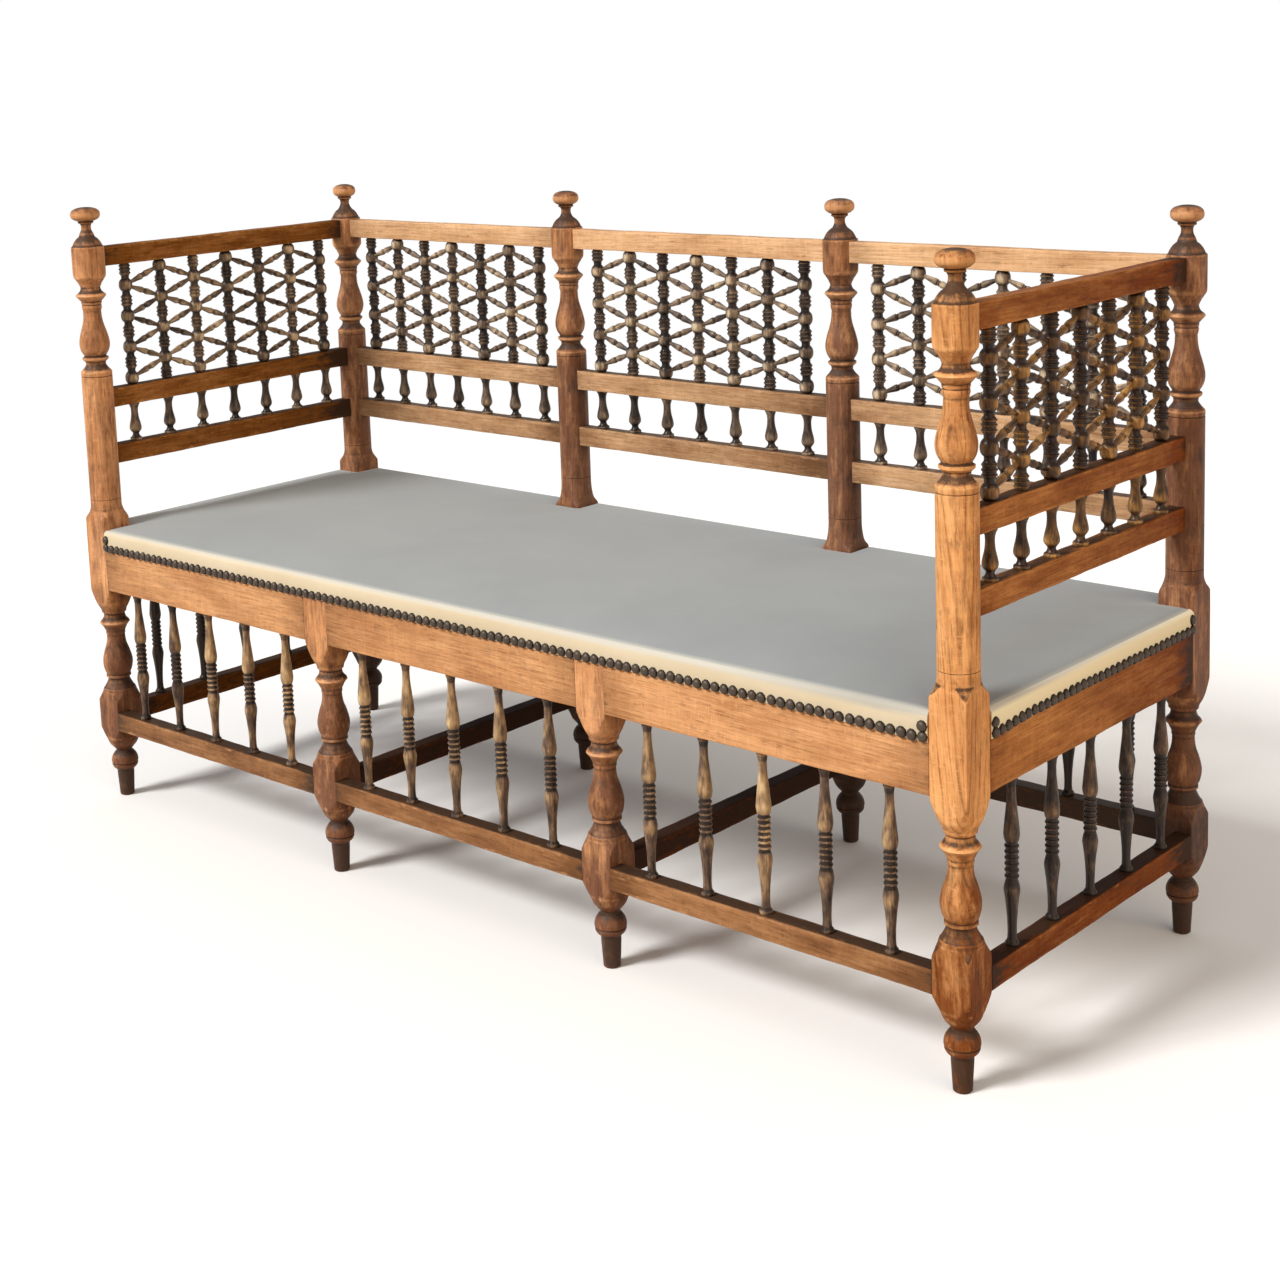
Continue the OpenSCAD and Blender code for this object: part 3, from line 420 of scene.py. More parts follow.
def turning_field(profile, centres, place, columns, tones, term, seed, section=None, axes=0.0, shade=0.0):
    """Rings of turned copies at their centres along a bay: radius times the section's share at each
    angle, about the z axis or about each copy's own axis in the bay's plane. The shade is added to
    the exposure of each point of the profile."""
    r = np.random.default_rng(seed)
    angle = ring_angles(columns)
    radius, z = profile[:, :1], profile[:, 1:]
    out = radius if section is None else section(radius, angle)
    ring = joined(out * np.cos(angle), out * np.sin(angle), z)
    lean = (np.zeros(len(centres)) + axes)[:, None, None]
    c, s = np.cos(lean), np.sin(lean)
    local = joined(c * ring[..., 0] + s * ring[..., 2], ring[..., 1], c * ring[..., 2] - s * ring[..., 0])
    local = local + centres[:, None, None, :]
    grain = (ring + r.uniform(-1, 1, (len(centres), 1, 1, 3)) * np.array([30, 30, 2000])) * MM
    # A cut flat is rubbed the more the deeper it lies
    exposure = (profile_exposure(profile, (term,), 0.3) + shade)[:, None]
    exposure = exposure + 0.5 * np.clip((radius - out) / 1.5, 0, 1)
    return field_of(local, place, grain, exposure, tones[:, None, None])


def in_a_row(count, gap, y, z):
    """Centres of that many copies, a gap apart about the middle of a bay."""
    return joined((np.arange(count) - (count - 1) / 2) * gap, y, z)


def bead_profile():
    """One bead spindle from the middle rail up: beads a pitch apart, and between them a barrel with
    three thin rings."""
    bead = smooth([[6.3, -10.6], [7.6, -9.2], [9.5, -6.8], [10.6, -3.8], [BEAD_R, 0], [10.6, 3.8], [9.5, 6.8],
                   [7.6, 9.2], [6.3, 10.6]], 2)
    ring = np.array([[8.3, -1.5], [9.6, -0.7], [9.6, 0.7], [8.3, 1.5]])
    barrel = np.vstack(([[6.4, -11.6], [6.6, -9.8], [8.0, -8.6]], ring + [-0.2, -5.9], ring,
                        ring + [-0.2, 5.9], [[8.0, 8.6], [6.6, 9.8], [6.4, 11.6]]))
    rows = [[[6.4, -1.0]]]
    for k in range(BEAD_ROWS):
        rows += [bead + [0, BEAD_END + k * BEAD_PITCH], barrel + [0, BEAD_END + (k + 0.5) * BEAD_PITCH]]
    line = np.vstack(rows + [[[6.4, PANEL_H + 1.0]]])
    line = line[(line[:, 1] >= 0.2) & (line[:, 1] <= PANEL_H - 0.2)]
    return np.vstack(([[line[0, 0], -1.0]], line, [[line[-1, 0], PANEL_H + 1.0]]))


def bead_section(radius, angle):
    """Beads cut a little flat at the front and the back by hand, the rest round."""
    return softer_min(radius, 10.2 / np.maximum(np.abs(np.sin(angle)), 0.2), 0.8)


def lattice_fields(place, seed, tones):
    """Bead spindles in a row, every second one the other way up. Each radius of the profile has its
    shade, darkest on the rings and lightest in the necks."""
    r = np.random.default_rng(seed)
    centres = in_a_row(LATTICE_N, LATTICE_GAP, 0.0, PANEL_Z)
    up = bead_profile()
    fields = []
    for first, profile in enumerate((up, np.column_stack((up[::-1, 0], PANEL_H - up[::-1, 1])))):
        radius, own = profile[:, 0], centres[first::2]
        shade = np.select((radius < 7.5, radius < 8.8, radius < 9.8), (0.02, -0.06, -0.16), 0.0)
        fields.append(turning_field(profile, own, place, 20, r.uniform(*tones, len(own)), (4, 4, -0.3, 0.3),
                                    seed + first, bead_section, shade=shade))
    return fields


def stick_fields(place, seed, tones):
    """Slanting sticks between neighbouring beads: two swellings with a ring in the groove between."""
    r = np.random.default_rng(seed + 50)
    g, m = np.meshgrid(np.arange(LATTICE_N - 1), np.arange(2 * BEAD_ROWS - 1), indexing="ij")
    g, m = g.ravel(), m.ravel()
    step = BEAD_PITCH / 2
    x, z = (g - (LATTICE_N - 2) / 2) * LATTICE_GAP, PANEL_Z + BEAD_END + (m + 0.5) * step
    end = math.hypot(LATTICE_GAP, step) / 2 - BEAD_R + 1.2
    half = np.array([[4.5, 0.6], [3.2, 1.5], [5.0, 2.9], [5.4, 6.0], [4.3, 13.5], [2.6, end]])
    axes = np.where((g + m) % 2 == 0, 1, -1) * math.atan2(LATTICE_GAP, step)
    low, high = np.array(tones) + 0.35
    return [turning_field(np.vstack((half[::-1] * [1, -1], half)), joined(x, 0.0, z), place, 7,
                          r.uniform(low, high, len(g)), (3, 4, -0.5, 0.35), seed, axes=axes)]


def baluster_fields(place, seed, tones):
    """Short balusters in a row: a foot, a vase that swells above it, a slim neck and a collar."""
    r = np.random.default_rng(seed + 90)
    h, big = MIDDLE_RAIL_Z - LOWER_RAIL_Z - RAIL_H, 9.8
    profile = refined(np.vstack((
        [[-0.6, -0.5], [-0.6, 0.2], [0, 1], [0, 3.4], [-0.8, 4.6]],
        smooth([[-2.6, 5.4], [-4.4, 9], [-4.2, 12], [-0.8, 16.5], [0, 21], [-1.2, 28], [-3.3, 37], [-4.1, 47],
                [-3.6, h - 8]]),
        [[-2.8, h - 7], [-2.8, h - 5.6], [-0.9, h - 2], [-0.9, h + 0.5]])) + [big, 0], 3.0)
    low, high = np.array(tones) - 0.2
    return [turning_field(profile, in_a_row(LATTICE_N, LATTICE_GAP, 0.0, LOWER_RAIL_Z + RAIL_H), place, 18,
                          r.uniform(low, high, LATTICE_N), (6, 9, -0.5, 0.35), seed)]


def spindle_fields(place, seed, tones):
    """Tall spindles: a swelling body on each side of a barrel with six thin rings, a small foot
    below and a collar above. The grooves between the rings are darkest."""
    r = np.random.default_rng(seed + 130)
    h, big = SEAT_RAIL_Z - STRETCHER_Z - STRETCHER_H, 9.6
    pitch, count = 7.4, 6
    a = (h - count * pitch) / 2
    ring = np.array([[-2.4, 1.2], [-1.1, 2.4], [-1.1, 4.2], [-2.4, 5.4]])
    rings = (ring + joined(0.0, a + np.arange(count) * pitch)[:, None]).reshape(-1, 2)
    profile = refined(np.vstack((
        [[-1.6, -0.5], [-1.6, 0.2], [-1, 1.2], [-1.2, 4], [-3.2, 6.4]],
        smooth([[-3.9, 9], [-4.2, 18], [-3.6, 34], [-2, 52], [-0.1, 66], [-0.1, 71], [-1.4, a - 3.6]]),
        [[-2.4, a - 1.4]], rings, [[-2.4, h - a + 0.4]],
        smooth([[-1.2, h - a + 2.6], [0, h - a + 9], [-0.2, h - a + 15], [-2.2, h - 46],
                [-4, h - 28], [-4.3, h - 14]]),
        [[-3.6, h - 9], [-3.4, h - 7], [-2.2, h - 4.6], [-2.2, h + 0.5]])) + [big, 0], 4.0)
    centres = in_a_row(SPINDLE_N, SPINDLE_GAP, STRETCHER_T / 2 - HALF_STOCK, STRETCHER_Z + STRETCHER_H)
    radius, z = profile.T
    # Both ends, next to the rails, are darker: painted shade. The barrel's grooves are darkest, and the body
    # below the barrel is darker too
    barrel = (z > a - 2) & (z < h - a + 1)
    shade = np.where(barrel, np.where(radius > big - 1.6, -0.16, -0.42), -0.25 * ((z < 8) | (z > h - 14)))
    shade = shade - 0.14 * (z < a - 2)
    return [turning_field(profile, centres, place, 18, r.uniform(*tones, SPINDLE_N), (7, 6, -0.2, 0.3), seed,
                          shade=shade)]


# Materials

def linear(colour):
    """An sRGB hex colour, or a linear grey level, as linear red, green, blue and alpha."""
    if not isinstance(colour, str):
        return (colour, colour, colour, 1.0)
    value = np.array([int(colour[i:i + 2], 16) for i in (1, 3, 5)]) / 255
    value = np.where(value <= 0.04045, value / 12.92, ((value + 0.055) / 1.055) ** 2.4)
    return (*value.tolist(), 1.0)


def add(tree, kind, inputs, output=0, stops=(), **settings):
    """Adds a node of that kind with its settings and a ramp's stops, sets or links each input, and
    gives one output. A hex colour becomes linear."""
    node = tree.nodes.new("ShaderNode" + kind)
    for key, value in settings.items():
        setattr(node, key, value)
    for number, (place, colour) in enumerate(stops):
        stop = node.color_ramp.elements[number] if number < 2 else node.color_ramp.elements.new(place)
        stop.position, stop.color = place, linear(colour)
    for socket, value in inputs.items():
        if isinstance(value, bpy.types.NodeSocket):
            tree.links.new(value, node.inputs[socket])
        else:
            node.inputs[socket].default_value = linear(value) if isinstance(value, str) else value
    return node.outputs[output] if len(node.outputs) else None


def with_tree(block):
    """A new material or world, and its emptied node tree."""
    block.use_nodes = True
    block.node_tree.nodes.clear()
    return block, block.node_tree


def new_material(name, surface, *values, **more):
    """A material whose surface function builds its pattern and gives the inputs of the shader."""
    material, tree = with_tree(bpy.data.materials.new(name))
    add(tree, "OutputMaterial", {"Surface": add(tree, "BsdfPrincipled", surface(tree, *values, **more))})
    return material


def total(tree, start, *terms):
    """The start plus each term's value times its weight."""
    for value, weight in terms:
        start = add(tree, "Math", {0: value, 1: weight, 2: start}, operation="MULTIPLY_ADD")
    return start


def layered(tree, colour, *layers, kind="MIX"):
    """The colour with layers of paint over it. Each one's pattern, read through its stops, says how
    much of its paint shows; without stops the pattern says so itself."""
    for pattern, stops, paint in layers:
        share = add(tree, "ValToRGB", {"Fac": pattern}, stops=stops)
        colour = add(tree, "Mix", {"Factor": share, 6: colour, 7: paint}, 2, data_type="RGBA",
                     blend_type=kind)
    return colour


def streaks(tree, place, across, along, detail=2.0, rough=0.5):
    """Noise drawn out along the grain: cells of that many millimetres across it and along it."""
    cells = add(tree, "VectorMath", {0: place, 1: (1000 / across, 1000 / across, 1000 / along)},
                operation="MULTIPLY")
    return add(tree, "TexNoise", {"Vector": cells, "Scale": 1.0, "Detail": detail, "Roughness": rough}, "Fac")


def oiled_oak(tree, colours, ring_mm, figure, blotch, skin=0.22, object_axis=None):
    """Planed oak under old oil. It gives the eye dark growth lines with open pores in short dashes
    along the grain, a slow change of tone, brown dirt and painted shade in the recesses and a dull
    satin skin. The colours are those of light and middle wood, of the lines, of dirt and painted
    shade, and of age."""
    light, middle, dark, dirt_and_shade, aged_to = colours
    if object_axis is None:
        place = add(tree, "Attribute", {}, "Vector", attribute_name="grain")
    else:
        here = add(tree, "TexCoord", {}, "Object")
        place = add(tree, "Mapping", {"Vector": here, "Location": (0.06, 0.04, 0.0), "Rotation": object_axis})
    # Growth lines: distance from the pith over the width of a year, bent by slow noise
    flat = add(tree, "VectorMath", {0: place, 1: (1, 1, 0)}, operation="MULTIPLY")
    away = add(tree, "VectorMath", {0: flat}, "Value", operation="LENGTH")
    bend = streaks(tree, place, 34, 300)
    years = total(tree, 0.0, (bend, 22 / ring_mm), (away, 1000 / ring_mm))
    year = add(tree, "Math", {0: years}, operation="FRACT")
    line = add(tree, "ValToRGB", {"Fac": year},
               stops=((0.0, 0.1), (0.68, 0.0), (0.84, 0.85), (0.93, 1.0), (1.0, 0.1)))
    broken = add(tree, "ValToRGB", {"Fac": streaks(tree, place, 6, 110)}, stops=((0.36, 0.1), (0.6, 1.0)))
    line = add(tree, "Math", {0: line, 1: broken}, operation="MULTIPLY")
    # Pores: real ones are 0.3 mm wide; drawn 1.4 mm wide and 18 mm long so that they show
    pore = add(tree, "ValToRGB", {"Fac": streaks(tree, place, 1.4, 18, 1.0, 0.4)},
               stops=((0.3, 1.0), (0.42, 0.0)))
    fibre = streaks(tree, place, 2.8, 75, 4.0, 0.65)
    patch = streaks(tree, place, 48, 130, 3.0, 0.55)
    vein = streaks(tree, place, 3.4, 48, 3.0, 0.7)
    # Faint marks of the saw across the grain, 9 mm apart, and light scratches 2 mm wide
    saw, scratch = streaks(tree, place, 150, 9), streaks(tree, place, 15, 2.2)
    colour = layered(tree, middle, (fibre, ((0.4, 0.0), (0.6, 1.0)), light),
                     (patch, ((0.4, 0.0), (0.66, 0.6)), middle), (vein, ((0.32, 0.5), (0.42, 0.0)), dark),
                     (line, ((0.0, 0.0), (1.0, figure)), dark), (pore, ((0.0, 0.0), (1.0, 0.231)), dark),
                     (saw, ((0.46, 0.0), (0.62, 0.2)), light), (scratch, ((0.58, 0.0), (0.7, 0.6)), light))
    # Slow clouds a hand wide
    cloud = streaks(tree, place, 60, 150, 4.0, 0.6)
    colour = layered(tree, colour, (cloud, ((0.34, 1.0), (0.6, 0.0)), "#DDD2C8"), kind="MULTIPLY")
    if object_axis is None:
        # Age darkens the wood in drifts and spots, and none of it where the tone is nil; where the tone
        # is raised as painted shade, this darkening is painted shade too
        exposure, tone = (add(tree, "Attribute", {}, "Fac", attribute_name=key)
                          for key in ("exposure", "tone"))
        drift = streaks(tree, place, 17, 80, 5.0, 0.68)
        spots = streaks(tree, place, 9, 22, 4.0, 0.66)
        aged = total(tree, -0.75 * blotch, (drift, blotch), (tone, 1.0), (spots, 0.5 * blotch))
        some = add(tree, "Math", {0: tone, 1: 5.0}, operation="MULTIPLY", use_clamp=True)
        aged = add(tree, "Math", {0: aged, 1: some}, operation="MULTIPLY")
        colour = layered(tree, colour, (aged, (), aged_to), kind="MULTIPLY")
        # Dirt and painted shade darken where little is exposed, and much exposed wood is rubbed light
        open_air = total(tree, -0.5, (spots, 1.0), (exposure, 1.0))
        colour = layered(tree, colour, (open_air, ((0.22, 0.92), (0.54, 0.0)), dirt_and_shade),
                         (open_air, ((0.74, 0.0), (1.0, 0.5)), light))
    rough = add(tree, "ValToRGB", {"Fac": fibre}, stops=((0.3, 0.42), (0.7, 0.6)))
    relief = total(tree, 0.0, (pore, -0.8), (line, 1.0))
    bump = add(tree, "Bump", {"Height": relief, "Strength": 0.4, "Distance": 0.0004})
    return {"Base Color": colour, "Roughness": rough, "Normal": bump, "IOR": 1.45, "Specular IOR Level": skin}


def stained_beech(tree, colours, lean):
    """Turned beech, stained near black long ago and rubbed through since. It gives the eye black
    grooves, worn tan swellings with streaks along the turning, and a faint polish. The four colours
    run from the stain to the brightest bare wood, and a higher lean shows more of it."""
    place = add(tree, "Attribute", {}, "Vector", attribute_name="grain")
    exposure, tone = (add(tree, "Attribute", {}, "Fac", attribute_name=key) for key in ("exposure", "tone"))
    streak = streaks(tree, place, 2.4, 24, 3.0, 0.6)
    patch = streaks(tree, place, 11, 26, 3.0, 0.55)
    worn = total(tree, lean - 0.85, (streak, 0.6), (exposure, 1.0), (patch, 1.1), (tone, 0.3))
    colour = add(tree, "ValToRGB", {"Fac": worn}, stops=tuple(zip((0.22, 0.5, 0.74, 1.0), colours)))
    rough = add(tree, "ValToRGB", {"Fac": worn}, stops=((0.3, 0.34), (1.0, 0.52)))
    bump = add(tree, "Bump", {"Height": streak, "Strength": 0.3, "Distance": 0.0005})
    return {"Base Color": colour, "Roughness": rough, "Normal": bump, "IOR": 1.46, "Specular IOR Level": 0.32}


def woven_cotton(tree, colour, shade, edge, thread=0.0018):
    """Plain-woven cotton drawn tight. It gives the eye a flat matt skin with a faint thread grid,
    slow mottling and a soft sheen at grazing angles. Where its point attributes say so it is painted
    lighter in cream (painted light), takes the edge's pale colour at the rim (a painted highlight, and
    round the posts the cloth's own pale turn-down), and turns a darker grey (painted shade on the pad,
    the top cloth's grey on the border)."""
    place = add(tree, "Attribute", {}, "Vector", attribute_name="cloth")
    rim, painted_light, painted_shade_and_grey = (add(tree, "Attribute", {}, "Fac", attribute_name=key)
                             for key in ("rim", "painted_light", "painted_shade_and_grey"))
    # Threads: real ones are 0.5 mm apart; drawn 1.8 mm apart so that they show
    waves = [add(tree, "TexWave", {"Vector": place, "Scale": 2 * math.pi / (20 * thread), "Distortion": 0.6,
                                   "Detail": 1.0, "Detail Scale": 0.4}, "Fac", wave_type="BANDS",
                 bands_direction=direction) for direction in ("X", "Y")]
    weave = total(tree, 0.0, (waves[0], 1.0), (waves[1], 1.0))
    slow = add(tree, "TexNoise", {"Vector": place, "Scale": 5.0, "Detail": 4.0, "Roughness": 0.6}, "Fac")
    fine = add(tree, "TexNoise", {"Vector": place, "Scale": 90.0, "Detail": 2.0}, "Fac")
    # Painted light in pale cream, and the pale rim colour, a painted highlight
    base = layered(tree, shade, (slow, ((0.3, 0.0), (0.7, 1.0)), colour),
                   (fine, ((0.3, 0.16), (0.7, 0.0)), shade), (painted_light, (), "#FFF6D4"), (rim, (), edge))
    # A darker grey: painted shade on the pad, the top cloth's grey on the border's upper edge
    base = layered(tree, base, (painted_shade_and_grey, (), "#B5B5B5"), kind="MULTIPLY")
    bump = add(tree, "Bump", {"Height": weave, "Strength": 0.12, "Distance": 0.0003})
    return {"Base Color": base, "Roughness": 0.85, "Normal": bump, "Sheen Weight": 0.25,
            "Sheen Roughness": 0.5, "Specular IOR Level": 0.25}


def bronzed_steel(tree):
    """Pressed steel nail heads, bronzed dark. They give the eye near-black domes with brown
    rubbed crowns and a soft highlight."""
    exposure = add(tree, "Attribute", {}, "Fac", attribute_name="exposure")
    here = add(tree, "TexCoord", {}, "Object")
    noise = add(tree, "TexNoise", {"Vector": here, "Scale": 160.0, "Detail": 3.0}, "Fac")
    worn = total(tree, 0.0, (noise, 0.8), (exposure, 1.0))
    colour = add(tree, "ValToRGB", {"Fac": worn},
                 stops=((0.4, "#15110E"), (0.8, "#2E2621"), (1.0, "#4C4137")))
    return {"Base Color": colour, "Metallic": 0.4, "Roughness": 0.5}


# Colours, width of a year in millimetres, strength of the growth lines, spread of the ageing and shine
post_oak, front_oak, rail_oak, shade_side_oak, left_shade_side_oak, pale_oak = (
    new_material(f"oiled_oak_{name}", oiled_oak, colours, *values) for name, colours, *values in (
        ("posts", ("#F6BA84", "#DE9E6C", "#80502C", "#41322A", "#8E8690"), 8.5, 0.371, 2.6),
        ("front_post", ("#FFC486", "#F4AE6E", "#824A22", "#44342A", "#8E7460"), 8.5, 0.658, 2.3, 0.1),
        ("rails", ("#F4BC88", "#DA9E6A", "#80522F", "#38291F", "#8C8070"), 6.5, 0.279, 1.0),
        # The side and left rails' oak is a warmer, more orange copy of the rails' oak, for faces turned away
        # from the key light: painted shade
        ("side_rails", ("#F0B070", "#D08E50", "#7A4824", "#362820", "#947046"), 6.5, 0.262, 1.2, 0.06),
        ("left_rails", ("#F0B070", "#D08E50", "#7A4824", "#362820", "#938362"), 6.5, 0.262, 1.2, 0.06),
        ("back_rails", ("#F6CA9E", "#DEAE7E", "#8A6036", "#45362B", "#8A7C70"), 5.5, 0.279, 1.2)))
board_oak = new_material("sawn_boards", oiled_oak, ("#B58E63", "#9C7650", "#6F5136", "#4A3727", "#8C8078"),
                         7.0, 0.503, 1.0, object_axis=(0, math.pi / 2, 0))
lattice_beech, shade_side_beech, spindle_beech = (
    new_material(f"stained_beech_{name}", stained_beech, colours, lean) for name, colours, lean in (
        ("lattice", ("#231A15", "#54463C", "#8A7560", "#D2BC9C"), -0.24),
        # The right arm's beech, on the side away from the key light, is darker and more golden: painted
        # shade, with painted warm glints on its sticks
        ("right_arm", ("#2A190D", "#614629", "#9C7240", "#D6A862"), -0.24),
        ("spindles", ("#291E17", "#685242", "#AA8C68", "#DABC90"), -0.13)))
# Each cloth's colours: its own, a darker one, and the pale one at its rim, which is a painted highlight along
# the edges
grey_cotton = new_material("grey_cotton", woven_cotton, "#999E9F", "#8F9496", "#CBC7BA")
cream_cotton = new_material("cream_cotton", woven_cotton, "#DFD1B6", "#D2C2A2", "#C9C5BA")
nail_bronze = new_material("bronzed_nails", bronzed_steel)


# Posts and legs

LEG_PROFILE = np.vstack((foot_profile(), low_vase_profile(LOW_BLOCK[1], SEAT_BLOCK[0])))
SHORT_LEG = np.vstack((LEG_PROFILE, [[CORNER_R, SEAT_TOP]]))


def post_profile(block_top, taller, knob_share):
    """The whole post: its seat block ends at block_top, and its knob stands that much taller."""
    return np.vstack((LEG_PROFILE, column_profile(block_top, COLUMN_TOP), high_vase_profile(COLUMN_TOP),
                      cap_profile(*CAP_Z), knob_profile(BENCH_H + taller, knob_share)))


corner_top, inner_top = SEAT_BLOCK[1], SEAT_TOP + 11
# Tones over one on the low parts of the back posts, which stand under the seat, are painted shadow of the
# seat
for node, x, y, profile, tones, seed in (
        ("post_front_left", -HALF_L, -HALF_D, post_profile(corner_top, 4, 1.0),
         (1.05, 0.9, 1.0, 0.32, 0.34, 0.4, 0.25, 0.45), 21),
        ("post_front_right", HALF_L, -HALF_D, post_profile(corner_top, 1, 0.98),
         (1.06, 0.88, 0.76, 0.0, 0.1, 0.36, 0.2, 0.36), 22),
        ("post_back_left", -HALF_L, HALF_D, post_profile(corner_top, 1, 0.86),
         (1.3, 1.3, 1.3, 0.8, 0.85, 0.7, 0.6, 0.5), 23),
        ("post_back_right", HALF_L, HALF_D, post_profile(corner_top, 4, 0.92),
         (1.1, 1.1, 1.0, 0.9, 0.98, 0.85, 0.75, 0.7), 24),
        ("post_back_inner_left", -BAY_W / 2, HALF_D, post_profile(inner_top, 0, 0.9),
         (1.35, 1.35, 1.35, 0.95, 0.98, 0.72, 0.45, 0.7), 25),
        ("post_back_inner_right", BAY_W / 2, HALF_D, post_profile(inner_top, 0, 0.94),
         (1.35, 1.35, 1.35, 1.02, 1.03, 0.8, 0.65, 0.6), 26),
        ("leg_front_inner_left", -BAY_W / 2, -HALF_D, SHORT_LEG,
         (1.05, 0.75, 0.9, 0.18, 0.1, 0.1, 0.1, 0.1), 27),
        ("leg_front_inner_right", BAY_W / 2, -HALF_D, SHORT_LEG,
         (1.05, 0.8, 0.92, 0.16, 0.1, 0.1, 0.1, 0.1), 28)):
    # The front right post is the one whose grain shows most: it leans, and the painted shade on its corners
    # above the blocks is darker
    pale = node == "post_front_right"
    run_out, corner_shade = (0.1, 0.33) if pale else (0.0, 0.12)
    add_tubes(node + "_turned", [node], front_oak if pale else post_oak,
              [post_field(profile, (x, y), tones, seed, run_out, corner_shade)])

# Rails, stretchers and cross stretchers

# What the posts at both ends take off a rail's length: at their caps, their columns and their blocks
TOP_CUT, COLUMN_CUT, BLOCK_CUT = 2 * 23.2, 2 * 21.6, 2 * 24.9

# Tones of the rails at the two ends of a bay, as one sees them from the bay's outer side: one pair for
# all bays of a side, or one for each bay. Tones over one on the stretchers and the back seat rail,
# which lie under the seat, are painted shadow of the seat.
RAIL_TONES = {
    "top_rail": {"left": (0.95, 0.85), "right": (0.5, 1.05), "back": (0.1, 0.2, 0.05, 0.05, 0.0, 0.1)},
    "middle_rail": {"left": (1.2, 0.6), "right": (0.5, 0.86), "back": (0.55, 0.3, 0.7, 0.3, 0.5, 0.3)},
    "lower_rail": {"left": (1.15, 0.78), "right": (0.48, 0.82), "back": (0.6, 0.4, 0.75, 0.42, 0.6, 0.35)},
    "seat_rail": {"left": (0.5, 0.5), "right": (0.22, 1.0), "front": (0.22, 0.2, 0.2, 0.2, 0.1, 0.1),
                  "back": (1.1, 1.1)},
    "stretcher": {"left": (1.1, 1.1), "right": (0.95, 1.1), "front": (0.85, 0.9, 0.82, 0.8, 0.72, 0.78),
                  "back": (1.3, 1.3)},
}
# Underside, height, thickness, place across the post line, what the posts take of its length, and the
# exposure of its top; its sides have that of a straight stretch
RAIL_SIZES = {
    "top_rail": (TOP_RAIL_Z, RAIL_H, RAIL_T, 0.0, TOP_CUT, 0.5),
    "middle_rail": (MIDDLE_RAIL_Z, RAIL_H, RAIL_T, 0.0, COLUMN_CUT, 0.16),
    "lower_rail": (LOWER_RAIL_Z, RAIL_H, RAIL_T, 0.0, COLUMN_CUT, 0.2),
    "seat_rail": (SEAT_RAIL_Z, SEAT_RAIL_H, SEAT_RAIL_T, SEAT_RAIL_T / 2 - HALF_STOCK, BLOCK_CUT, 0.6),
    "stretcher": (STRETCHER_Z, STRETCHER_H, STRETCHER_T, STRETCHER_T / 2 - HALF_STOCK, BLOCK_CUT, 0.12),
}
for kind, sides in RAIL_TONES.items():
    z, height, thick, across, cut, top = RAIL_SIZES[kind]
    for side, tones in sides.items():
        short = side in ("left", "right")
        bays = [side] if short else [f"{side}_{part}" for part in PARTS]
        span = (BAY_D if short else BAY_W) - cut
        node = f"{kind}_{side}" if short else f"{kind}s_{side}"
        pairs = np.resize(tones, (len(bays), 2))
        fields = [bar_field(span, z, height, thick, across, PLACES[bay], pairs[i], top, EVEN_EXPOSURE,
                            300 + 7 * i + len(kind) * 11 + len(side)) for i, bay in enumerate(bays)]
        # The right and left rails take the shaded copies of the oak: painted shade on faces away from the key
        # light
        timber = {"left": left_shade_side_oak, "right": shade_side_oak, "front": rail_oak, "back": pale_oak}[side]
        add_tubes(node + "_bars", [node], timber, fields)
# The cross stretchers stand under the seat: their high tones, low exposures and shaded oak are painted shadow
# of the seat
for side, x in (("left", -BAY_W / 2), ("right", BAY_W / 2)):
    field = bar_field(BAY_D - BLOCK_CUT, STRETCHER_Z, STRETCHER_H, STRETCHER_T, 0.0, (1, (x, 0.0)),
                      (1.0, 1.2), 0.1, 0.26, 500 + int(x > 0))
    add_tubes(f"cross_stretcher_{side}_bar", [f"cross_stretcher_{side}"], shade_side_oak, [field])

# Lattices, balusters and spindles

for number, bay in enumerate(("left", "right", "back_left", "back_centre", "back_right")):
    timber = shade_side_beech if bay == "right" else lattice_beech
    for name, node, make in (("bead_spindles", "beads", lattice_fields),
                             ("lattice_sticks", "sticks", stick_fields),
                             ("short_balusters", "balusters", baluster_fields)):
        # Painted shade: the right arm's beads and sticks take lower tones
        tones = (-0.4, 0.5) if bay == "right" and node != "balusters" else (0.0, 0.9)
        add_tubes(f"{name}_{bay}", [f"{node}_{bay}"], timber,
                  make(PLACES[bay], 700 + 10 * number, tones), 44)
# Painted shade: the spindles are darker on the sides away from the key light, the right, then the left, and
# darkest at the back under the seat
SPINDLE_SHADE_TONES = {"front": (0.1, 0.9), "right": (-0.6, -0.1), "left": (-1.1, -0.6), "back": (-2.0, -1.4)}
for number, bay in enumerate(PLACES):
    add_tubes(f"tall_spindles_{bay}", [f"spindles_{bay}"], spindle_beech,
              spindle_fields(PLACES[bay], 900 + 10 * number, SPINDLE_SHADE_TONES[bay.split("_")[0]]))

# The boards and bearers under the pad keep their solids
for node in ("seat_boards", "seat_bearer_left", "seat_bearer_right"):
    for mesh_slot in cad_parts[node].material_slots:
        mesh_slot.material = board_oak


# Seat pad

def to_posts(x, y):
    """Distance in the plan to the nearest notch, at the four corners and the two inner back posts."""
    end_x, end_y, inner_x, inner_y = (np.clip(away, 0, None) for away in (
        HALF_L - NOTCH_HALF - np.abs(x), HALF_D - NOTCH_HALF - np.abs(y),
        np.abs(np.abs(x) - BAY_W / 2) - NOTCH_HALF, HALF_D - NOTCH_HALF - y))
    return np.minimum(np.hypot(end_x, end_y), np.hypot(inner_x, inner_y))


